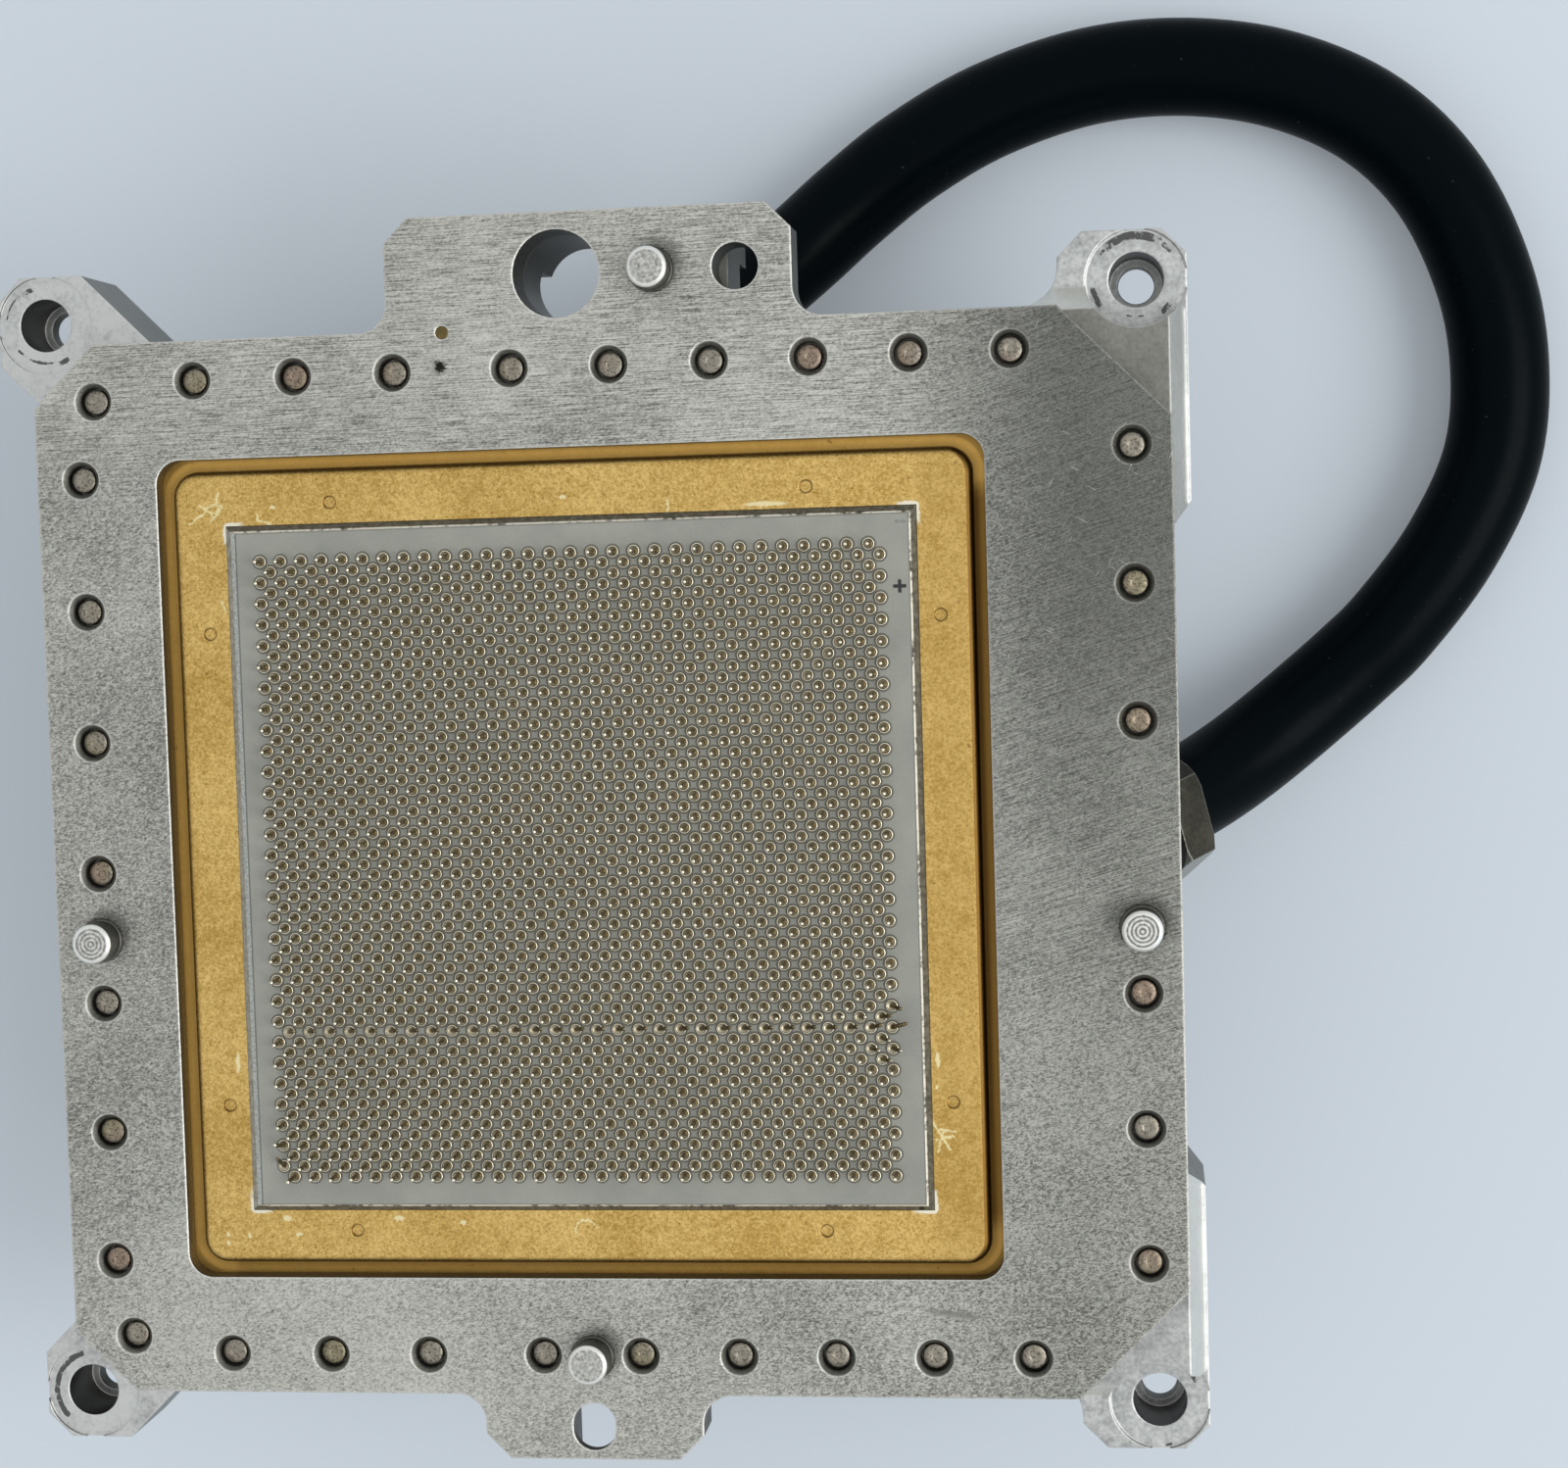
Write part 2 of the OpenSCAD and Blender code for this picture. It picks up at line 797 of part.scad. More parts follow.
// One straight run of the water channel between two corners
module channel_run(p, q) {
    translate([min(p[0], q[0]) - channel_w / 2, min(p[1], q[1]) - channel_w / 2])
        square([abs(p[0] - q[0]) + channel_w, abs(p[1] - q[1]) + channel_w]);
}

module cold_plate() {
    color("gray")
    difference() {
        translate([-cold_half, -cold_half, z_cold])
            cube([cold_half + cold_right, 2 * cold_half, cold_t]);
        translate([0, 0, z_cold - over])
            linear_extrude(channel_h + over) {
                channel_run([run_at, side_turn[1]], [run_at, -run_at]);
                channel_run([run_at, -run_at], [-run_at, -run_at]);
                channel_run([-run_at, -run_at], [-run_at, -run_mid]);
                channel_run([-run_at, -run_mid], [run_mid, -run_mid]);
                channel_run([run_mid, -run_mid], [run_mid, run_mid]);
                channel_run([run_mid, run_mid], [-run_at, run_mid]);
                channel_run([-run_at, run_mid], [-run_at, run_at]);
                channel_run([-run_at, run_at], [top_turn[0], run_at]);
            }
        translate([run_at, side_turn[1], port_z])
            rotate([0, 90, 0])
                cylinder(d = fitting_bore, h = cold_right - run_at + over);
        translate([cold_right - thread_l, side_turn[1], port_z])
            rotate([0, 90, 0])
                cylinder(d = thread_d + 2 * thread_gap, h = thread_l + over);
        translate([top_turn[0], run_at, port_z])
            rotate([-90, 0, 0])
                cylinder(d = fitting_bore, h = cold_half - run_at + over);
        translate([top_turn[0], cold_half - thread_l, port_z])
            rotate([-90, 0, 0])
                cylinder(d = thread_d + 2 * thread_gap, h = thread_l + over);
        for (x = [-1, 1], y = [-1, 1])
            translate([x * bolt_at, y * bolt_at, z_cold - over])
                cylinder(d = bolt_d + 2 * free_gap, h = cold_t + 2 * over);
    }
}

module cold_plate_cover() {
    color("darkgray")
    difference() {
        translate([-cold_half, -cold_half, 0])
            cube([cold_half + cold_right, 2 * cold_half, cover_t]);
        for (x = [-1, 1], y = [-1, 1])
            translate([x * bolt_at, y * bolt_at, -over]) {
                cylinder(d = bolt_d + 2 * free_gap, h = cover_t + 2 * over);
                cylinder(d = bolt_head_d + 2 * free_gap, h = bolt_seat + over);
            }
    }
}

module cold_plate_screws() {
    color("dimgray")
    for (x = [-1, 1], y = [-1, 1])
        translate([x * bolt_at, y * bolt_at, bolt_seat])
            difference() {
                rotate_extrude()
                    polygon([
                        [0, -bolt_head_h], [bolt_head_d / 2, -bolt_head_h], [bolt_head_d / 2, 0],
                        [bolt_d / 2, 0], [bolt_d / 2, z_hat + bolt_reach - bolt_seat],
                        [0, z_hat + bolt_reach - bolt_seat]]);
                translate([0, 0, -bolt_head_h - over])
                    cylinder(d = bolt_socket_d, h = bolt_head_h / 2 + over, $fn = 6);
            }
}

// Elbow with its threaded end along +X from the wall and its tail tilted down
module elbow(yaw) {
    difference() {
        union() {
            translate([-neck_l - thread_l, 0, 0])
                rotate([0, 90, 0])
                    cylinder(d = thread_d, h = thread_l + over);
            translate([-neck_l, 0, 0])
                rotate([0, 90, 0])
                    cylinder(d = neck_d, h = neck_l);
            sphere(d = elbow_d);
            rotate([0, 0, yaw])
                rotate([0, 90 + tail_tilt, 0])
                    cylinder(d = neck_d, h = tail_l);
        }
        translate([-neck_l - thread_l - over, 0, 0])
            rotate([0, 90, 0])
                cylinder(d = fitting_bore, h = neck_l + thread_l + over);
        sphere(d = fitting_bore + turn_more);
        rotate([0, 0, yaw])
            rotate([0, 90 + tail_tilt, 0])
                cylinder(d = fitting_bore, h = tail_l + over);
    }
}

// Hexagon nut on the end of an elbow's tail, its corners turned off
module nut(yaw) {
    rotate([0, 0, yaw])
        rotate([0, 90 + tail_tilt, 0])
            translate([0, 0, tail_l])
                difference() {
                    intersection() {
                        rotate([0, 0, 30 + hex_roll])
                            cylinder(d = hex_af / cos(30), h = hex_l, $fn = 6);
                        rotate_extrude()
                            polygon([
                                [0, 0], [hex_turned_r, 0], [hex_turned_r + hex_cut, hex_cut_h],
                                [hex_turned_r + hex_cut, hex_l - hex_cut_h], [hex_turned_r, hex_l],
                                [0, hex_l]]);
                    }
                    translate([0, 0, -over])
                        cylinder(d = fitting_bore, h = hex_l + 2 * over);
                }
}

module side_elbow() {
    color("darkkhaki")
    translate(side_turn)
        elbow(side_yaw);
}

module side_nut() {
    color("olive")
    translate(side_turn)
        nut(side_yaw);
}

module top_elbow() {
    color("darkkhaki")
    translate(top_turn)
        rotate([0, 0, 90])
            elbow(top_yaw - 90);
}

module top_nut() {
    color("olive")
    translate(top_turn)
        nut(top_yaw);
}

// Hose swept along its route, closed at both ends
module hose() {
    c = centres(padded(route));
    n = len(c);
    pts = [for (i = [0 : n - 1]) each ring(c[i], heading(c, i))];
    sides = [for (i = [0 : n - 2], k = [0 : hose_sides - 1])
        let (j = (k + 1) % hose_sides)
        [i * hose_sides + k, i * hose_sides + j, (i + 1) * hose_sides + j, (i + 1) * hose_sides + k]];
    first = [[for (k = [hose_sides - 1 : -1 : 0]) k]];
    last = [[for (k = [0 : hose_sides - 1]) (n - 1) * hose_sides + k]];
    color("black")
        polyhedron(pts, concat(sides, first, last), convexity = 10);
}

base_plate();
substrate_flange();
ceramic_substrate();
braze_fillet();
pin_pads_upper();
pin_pads_lower();
contact_pins_upper();
contact_pins_lower();
chips();
pistons();
piston_springs();
housing();
seal_ring();
clamp_screws();
dowel_top();
dowel_left();
dowel_right();
dowel_bottom();
tab_plug();
cold_plate();
cold_plate_cover();
cold_plate_screws();
side_elbow();
side_nut();
top_elbow();
top_nut();
hose();
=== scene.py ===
"""Looks of a water cooled multi-chip module that lies on its back with its pin face up.

Lengths in the shape values are millimetres; meshes are made in metres. The order is: values, camera, surface
makers, hose, shader wrapper, masks, finishes, pin field, screw ends, floor and light.
"""

import functools
import math

import bpy
import numpy as np
from mathutils import Matrix


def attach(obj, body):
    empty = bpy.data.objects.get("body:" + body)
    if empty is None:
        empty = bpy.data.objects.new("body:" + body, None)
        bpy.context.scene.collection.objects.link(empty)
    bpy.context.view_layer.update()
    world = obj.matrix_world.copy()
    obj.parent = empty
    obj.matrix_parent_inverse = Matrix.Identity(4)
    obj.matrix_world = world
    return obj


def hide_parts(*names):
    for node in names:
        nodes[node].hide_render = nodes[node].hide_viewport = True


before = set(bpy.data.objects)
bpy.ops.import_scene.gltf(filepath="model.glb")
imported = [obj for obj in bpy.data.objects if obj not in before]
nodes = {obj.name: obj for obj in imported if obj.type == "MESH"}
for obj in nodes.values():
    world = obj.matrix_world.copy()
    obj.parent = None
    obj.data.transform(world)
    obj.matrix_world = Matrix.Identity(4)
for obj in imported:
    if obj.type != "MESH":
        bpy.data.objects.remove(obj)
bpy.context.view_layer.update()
MM = 0.001

# Values shared with the solids
FRONT, PLATE_BACK = 58.0, 52.2
FACE_HALF, COLLAR_FOOT = 41.0, 41.9
PIN_PITCH = 2.54
PIN_ROWS, PIN_COLS = 60, 30
PIN_R, PIN_H, PAD_R = 0.25, 2.3, 0.75
WINDOW_HALF, WINDOW_R, GROOVE_W = 50.0, 3.0, 1.5
DIMPLE_OUT, DIMPLE_ASIDE, DIMPLE_R = 44.4, 28.9, 0.75
SCREW_LINE, SCREW_RIGHT = 59.5, 67.1
SCREW_DROP = 1.0
CORNER_IN, CORNER_DOWN = 2.0, 2.1
ROW_X = (-45, -32.5, -20.25, -6, 6, 18, 29.75, 41.5, 53.25)
COLUMN_PITCH = 16
LUG_AT, LUG_BORE_R = 68.0, 3.3
DOWEL_R = 2.4
DOWEL_AT = {"dowel_top": (11.4, 70.4), "dowel_left": (-59.5, -8.2), "dowel_right": (67.1, -8.2),
            "dowel_bottom": (0.0, -59.7)}
TAIL_TILT = 40
HOSE_D = 12.7

# Camera: its place, its own axes to the right and up, and its lens
CAMERA_AT = np.array([66.85, 34.87, 320.88 + FRONT])
CAMERA_RIGHT = np.array([0.99163, -0.02944, -0.12573])
CAMERA_UP = np.array([0.02156, 0.99775, -0.06352])
LENS, SENSOR = 63.0, 36.0
NEAREST_SEEN = 10.0


def placed(right, up, back, place):
    """The matrix of an object with these three axes and this place in metres."""
    m = np.eye(4)
    m[:3] = np.stack([right, up, back, place], 1)
    return Matrix(m.tolist())


def aim_camera():
    """Puts the camera where the photo was taken from: its own three axes and its place, in the row frame."""
    lens = bpy.data.cameras.new("camera")
    lens.sensor_fit = "HORIZONTAL"
    lens.sensor_width = SENSOR
    lens.lens = LENS
    lens.clip_start = NEAREST_SEEN * MM
    eye = bpy.data.objects.new("camera", lens)
    back = np.cross(CAMERA_RIGHT, CAMERA_UP)
    eye.matrix_world = placed(CAMERA_RIGHT, CAMERA_UP, back, CAMERA_AT * MM)
    bpy.context.scene.collection.objects.link(eye)
    bpy.context.scene.camera = eye


aim_camera()


# Surface makers
def mesh_piece(name, verts, faces, smooth=True):
    """A mesh object at the origin from an array of points in millimetres and a list of face index arrays."""
    points = (np.asarray(verts, float) * MM).tolist()
    polygons = [face for array in faces for face in array.tolist()]
    mesh = bpy.data.meshes.new(name)
    mesh.from_pydata(points, [], polygons)
    mesh.polygons.foreach_set("use_smooth", np.full(len(polygons), smooth))
    mesh.update()
    obj = bpy.data.objects.new(name, mesh)
    bpy.context.scene.collection.objects.link(obj)
    return obj


def strip_faces(rows, cols):
    """Quads of a grid of rows by cols points, wrapped round in the column direction."""
    i, j = np.meshgrid(np.arange(rows - 1), np.arange(cols), indexing="ij")
    k = (j + 1) % cols
    return np.stack([i * cols + j, i * cols + k, (i + 1) * cols + k, (i + 1) * cols + j], -1).reshape(-1, 4)


def turned(profile, sides, cap=True):
    """Points and faces of a profile of (radius, height) turned about Z, its last ring closed by one face."""
    p = np.asarray(profile, float)
    a = np.arange(sides) * 2 * np.pi / sides
    grid = np.stack([p[:, :1] * np.cos(a), p[:, :1] * np.sin(a), np.repeat(p[:, 1:], sides, 1)], -1)
    last = (len(p) - 1) * sides + np.arange(sides)[None]
    return grid.reshape(-1, 3), [strip_faces(len(p), sides)] + ([last] if cap else [])


def repeated(verts, faces, places):
    """Copies of a shape at many places: points are place plus point, faces shift by the points before."""
    every = (np.asarray(places)[:, None, :] + verts[None]).reshape(-1, 3)
    shift = (np.arange(len(places)) * len(verts))[:, None, None]
    return every, [(f[None] + shift).reshape(-1, f.shape[1]) for f in faces]


def smooth_route(points, steps):
    """Points on the curve through every route point: on each stretch a cubic from its four nearest points."""
    q = np.concatenate([[2 * points[0] - points[1]], points, [2 * points[-1] - points[-2]]])
    a, b, c, d = (q[i:len(q) - 3 + i][:, None] for i in range(4))
    t = (np.arange(steps) / steps)[None, :, None]
    curved = (2 * a - 5 * b + 4 * c - d) * t ** 2 + (3 * b - a - 3 * c + d) * t ** 3
    stretch = 0.5 * (2 * b + (c - a) * t + curved)
    return np.concatenate([stretch.reshape(-1, 3), points[-1:]])


def tube(line, radius, sides, first, last):
    """A round tube along a line: at each point a circle square to the heading, its first radius level.

    The first and the last heading are given, and both ends are closed by one flat face.
    """
    heading = np.gradient(line, axis=0)
    heading[0], heading[-1] = first, last
    heading /= np.linalg.norm(heading, axis=1)[:, None]
    level = np.cross(heading, [0, 0, 1])
    level /= np.linalg.norm(level, axis=1)[:, None]
    over = np.cross(level, heading)
    a = (np.arange(sides) * 2 * np.pi / sides)[None, :, None]
    grid = line[:, None] + radius * (np.cos(a) * level[:, None] + np.sin(a) * over[:, None])
    n = len(line)
    ends = [np.arange(sides)[::-1][None], ((n - 1) * sides + np.arange(sides))[None]]
    return grid.reshape(-1, 3), [strip_faces(n, sides)] + ends


def tail_way(yaw):
    """The way a hose tail points: turned by yaw about Z and tilted down."""
    t, y = math.radians(TAIL_TILT), math.radians(yaw)
    return np.array([math.cos(t) * math.cos(y), math.cos(t) * math.sin(y), -math.sin(t)])


# Hose: the elbows' middles, the yaw of their tails and the route's points are those of the solids
SIDE_ELBOW, TOP_ELBOW = np.array([61.8, -0.9, 26.5]), np.array([5, 60.5, 26.5])
SIDE_YAW, TOP_YAW = 22, 42
TAIL_REACH, TAIL_STRAIGHT = 11.1, 4
FLOOR_GAP = 0.05
SIDE_WAY, TOP_WAY = tail_way(SIDE_YAW), tail_way(TOP_YAW)
SIDE_END, TOP_END = SIDE_ELBOW + TAIL_REACH * SIDE_WAY, TOP_ELBOW + TAIL_REACH * TOP_WAY
REST = HOSE_D / 2 + FLOOR_GAP
ROUTE = np.array([
    SIDE_END, SIDE_END + TAIL_STRAIGHT * SIDE_WAY,
    (76.1, 5.2, 13.8), (80.1, 7.6, 11), (84.5, 10.7, 8.7), (89.7, 14.8, 7.1), (95.5, 19.7, REST),
    (101, 25, REST), (108.5, 34.8, REST), (114, 46.3, REST), (115.3, 58, REST), (113.5, 70, REST),
    (108, 82.4, REST), (99.4, 91.5, REST), (88, 97.2, REST), (75.3, 99.6, REST), (62.3, 99, REST),
    (49.2, 95.2, REST), (38.5, 89.6, REST), (30.5, 83.7, 6.7), (24.1, 78, 8.4), (18.3, 72.7, 12),
    TOP_END + TAIL_STRAIGHT * TOP_WAY, TOP_END])
HOSE_STEPS, HOSE_SIDES = 8, 32


def make_hose():
    """The hose as a tube along its route."""
    line = smooth_route(ROUTE, HOSE_STEPS)
    verts, faces = tube(line, HOSE_D / 2, HOSE_SIDES, SIDE_WAY, -TOP_WAY)
    obj = mesh_piece("hose_tube", verts, faces)
    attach(obj, "root")
    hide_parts("hose")
    return obj


hose_tube = make_hose()


# Shader wrapper
def srgb(r, g, b):
    """A colour read on a screen, from 0 to 255, as linear numbers."""
    c = np.array([r, g, b]) / 255.0
    return tuple(float(v) for v in np.where(c <= 0.04045, c / 12.92, ((c + 0.055) / 1.055) ** 2.4))


class Value:
    """A socket in sums: each operator adds one Math node to the material that the socket belongs to."""

    def __init__(self, finish, socket):
        self.finish = finish
        self.socket = socket

    def _sum(self, operation, *terms):
        return self.finish.node("ShaderNodeMath", {"operation": operation}, dict(enumerate(terms)))

    def __add__(self, b):
        return self._sum("ADD", self, b)

    def __radd__(self, b):
        return self._sum("ADD", b, self)

    def __sub__(self, b):
        return self._sum("SUBTRACT", self, b)

    def __rsub__(self, b):
        return self._sum("SUBTRACT", b, self)

    def __mul__(self, b):
        return self._sum("MULTIPLY", self, b)

    def __rmul__(self, b):
        return self._sum("MULTIPLY", b, self)

    def __truediv__(self, b):
        return self._sum("DIVIDE", self, b)

    def __rtruediv__(self, b):
        return self._sum("DIVIDE", b, self)

    def __pow__(self, b):
        return self._sum("POWER", self, b)

    def __rpow__(self, b):
        return self._sum("POWER", b, self)

    def __abs__(self):
        return self._sum("ABSOLUTE", self)

    def over(self, b):
        """The higher of two values."""
        return self._sum("MAXIMUM", self, b)

    def under(self, b):
        """The lower of two values."""
        return self._sum("MINIMUM", self, b)

    def root(self):
        """The square root."""
        return self._sum("SQRT", self)

    def sine(self):
        """The sine."""
        return self._sum("SINE", self)

    def snap(self, step):
        """The next whole number of steps below."""
        return self._sum("SNAP", self, step)

    def rise(self, low, high):
        """0 below low, 1 above high, smooth between; falls instead where low is above high."""
        if low > high:
            return 1 - self.rise(high, low)
        return self.finish.node("ShaderNodeMapRange", {"interpolation_type": "SMOOTHSTEP"},
                                {0: self, 1: low, 2: high, 3: 0.0, 4: 1.0})


class Finish:
    """One material: a Principled shader, the nodes that feed it, and the colour painted so far.

    A colour is three screen numbers from 0 to 255, or a value from blend.
    """

    def __init__(self, name, color, roughness, metallic=0.0):
        self.material = bpy.data.materials.new(name)
        self.material.use_nodes = True
        self.tree = self.material.node_tree
        self.shader = self.tree.nodes["Principled BSDF"]
        self.color = color
        self.set("Base Color", srgb(*color))
        self.set("Roughness", roughness)
        self.set("Metallic", metallic)

    def set(self, socket, value):
        """Feeds one socket of the shader, by a link or by a plain number or linear colour."""
        self._feed(self.shader.inputs[socket], value)

    def _feed(self, target, value):
        if isinstance(value, Value):
            self.tree.links.new(value.socket, target)
        elif hasattr(target.default_value, "__len__"):
            target.default_value = tuple(value) + (1.0,) * (len(target.default_value) - len(value))
        else:
            target.default_value = value

    def node(self, kind, settings, sockets, out=0):
        """Adds a node: its settings first, then the values or links of its sockets; gives one output."""
        made = self.tree.nodes.new(kind)
        for name, value in settings.items():
            setattr(made, name, value)
        for key, value in sockets.items():
            self._feed(made.inputs[key], value)
        return Value(self, made.outputs[out])

    def parts(self, vector):
        """The three parts of a vector, as values."""
        split = self.node("ShaderNodeSeparateXYZ", {}, {0: vector})
        return [Value(self, socket) for socket in split.socket.node.outputs]

    def at(self):
        """Place on the piece in millimetres, as three values."""
        place = self.node("ShaderNodeTexCoord", {}, {}, "Object")
        return [part * (1.0 / MM) for part in self.parts(place)]

    def facing(self, axis=2):
        """How far the surface faces along an axis, up where none is given, from -1 to 1."""
        return self.parts(self.node("ShaderNodeNewGeometry", {}, {}, "Normal"))[axis]

    def grain(self, scale, detail, rough, turn=0.0, stretch=(1, 1, 1), shift=(0, 0, 0)):
        """Noise from 0 to 1: scale is per millimetre, and the pattern may be turned about Z and stretched.

        The turn is in degrees and the shift, which moves to another part of the pattern, in metres.
        """
        place = self.node("ShaderNodeTexCoord", {}, {}, "Object")
        moved = self.node("ShaderNodeMapping", {"vector_type": "TEXTURE"}, {
            "Vector": place, "Location": shift, "Rotation": (0, 0, math.radians(turn)),
            "Scale": tuple(MM / (scale * s) for s in stretch)})
        return self.node("ShaderNodeTexNoise", {}, {
            "Vector": moved, "Scale": 1.0, "Detail": detail, "Roughness": rough})

    def blend(self, mask, a, b):
        """Colour a where the mask is 0 and b where it is 1."""
        a, b = (c if isinstance(c, Value) else srgb(*c) for c in (a, b))
        return self.node("ShaderNodeMix", {"data_type": "RGBA"}, {0: mask, 6: a, 7: b}, 2)

    def ground(self, tone, dark, pale):
        """Starts the painted colour: dark where tone is 0 and pale where it is 1."""
        self.color = self.blend(tone, dark, pale)
        self.set("Base Color", self.color)

    def paint(self, mask, color):
        """Lays a colour over what is painted so far, where the mask is 1."""
        self.color = self.blend(mask, self.color, color)
        self.set("Base Color", self.color)

    def rounded(self, radius):
        """The normal of the piece with its sharp edges rounded; radius in millimetres."""
        return self.node("ShaderNodeBevel", {"samples": 6}, {"Radius": radius * MM})

    def edge(self, rounded, gain=6.0):
        """Mask of the sharp edges: how far the rounded normal leans away from the flat one."""
        flat = self.node("ShaderNodeNewGeometry", {}, {}, "Normal")
        dot = self.node("ShaderNodeVectorMath", {"operation": "DOT_PRODUCT"}, {0: rounded, 1: flat}, "Value")
        return ((1 - dot) * gain).under(1.0).over(0.0)

    def bump(self, height, strength, distance, rounded=None):
        """Relief from a height value, on the rounded normal where given; distance in millimetres."""
        links = {"Height": height, "Strength": strength, "Distance": distance * MM}
        if rounded is not None:
            links["Normal"] = rounded
        self.set("Normal", self.node("ShaderNodeBump", {}, links))


# Masks
def span(across, along):
    """Root of the sum of two squares."""
    return (across ** 2.0 + along ** 2.0).root()


def highest(masks):
    """The highest of several masks."""
    return functools.reduce(Value.over, masks)


def spot(x, y, cx, cy, radius, soft):
    """Soft round mask about one point of the face."""
    return span(x - cx, y - cy).rise(radius + soft, radius - soft)


def stroke(x, y, a, b, width):
    """Soft mask of a straight scratch from a to b: distance to the line, ended at both points."""
    (ax, ay), (bx, by) = a, b
    long = math.hypot(bx - ax, by - ay)
    ux, uy = (bx - ax) / long, (by - ay) / long
    along = (x - ax) * ux + (y - ay) * uy
    aside = abs((x - ax) * -uy + (y - ay) * ux)
    return aside.rise(width, 0.2 * width) * along.rise(-width, 0.0) * along.rise(long + width, long)


def arc(dx, dy, angle, half, inner, outer, soft_turn=5, soft=0.15):
    """Soft mask of a piece of a ring: its middle angle and half angle in degrees, and its two radii."""
    a = math.radians(angle)
    away = span(dx, dy)
    turn = (dx * math.cos(a) + dy * math.sin(a)) / away
    wide, narrow = math.radians(half + soft_turn), math.radians(max(half - soft_turn, 0))
    ring = away.rise(inner - soft, inner + soft) * away.rise(outer + soft, outer - soft)
    return turn.rise(math.cos(wide), math.cos(narrow)) * ring


def square_outline(x, y, half, corner):
    """Distance outside a square with rounded corners, negative inside."""
    qx, qy = abs(x) - (half - corner), abs(y) - (half - corner)
    return span(qx.over(0.0), qy.over(0.0)) + qx.over(qy).under(0.0) - corner


def pin_distance(x, y):
    """Distance to the nearest pin: the pins are two square grids, and a place snaps to a point of each."""
    step = PIN_PITCH / 2
    low = -(PIN_COLS - 0.5) * step
    reach = (PIN_COLS - 1) * PIN_PITCH

    def beside(place, first):
        """How far a place lies beside its grid point, which stays inside the field."""
        return place - first - (place - (first - step)).snap(PIN_PITCH).over(0.0).under(reach)

    one = beside(x, low) ** 2.0 + beside(y, low + step) ** 2.0
    two = beside(x, low + step) ** 2.0 + beside(y, low) ** 2.0
    return one.under(two).root()


# Finishes

# Paler patches of painted light on the plate: middle, radius, softness and strength
PLATE_PAINTED_LIGHT = ((-30.0, -60.0, 26.0, 16.0, 1.0), (58.0, -26.0, 9.0, 8.0, 0.7))
# A deep pit near the plug, and both ends of a smear
PLATE_PIT = (-14.4, 59.9)
PLATE_SMEAR = ((41.2, -53.7), (46.2, -54.4))


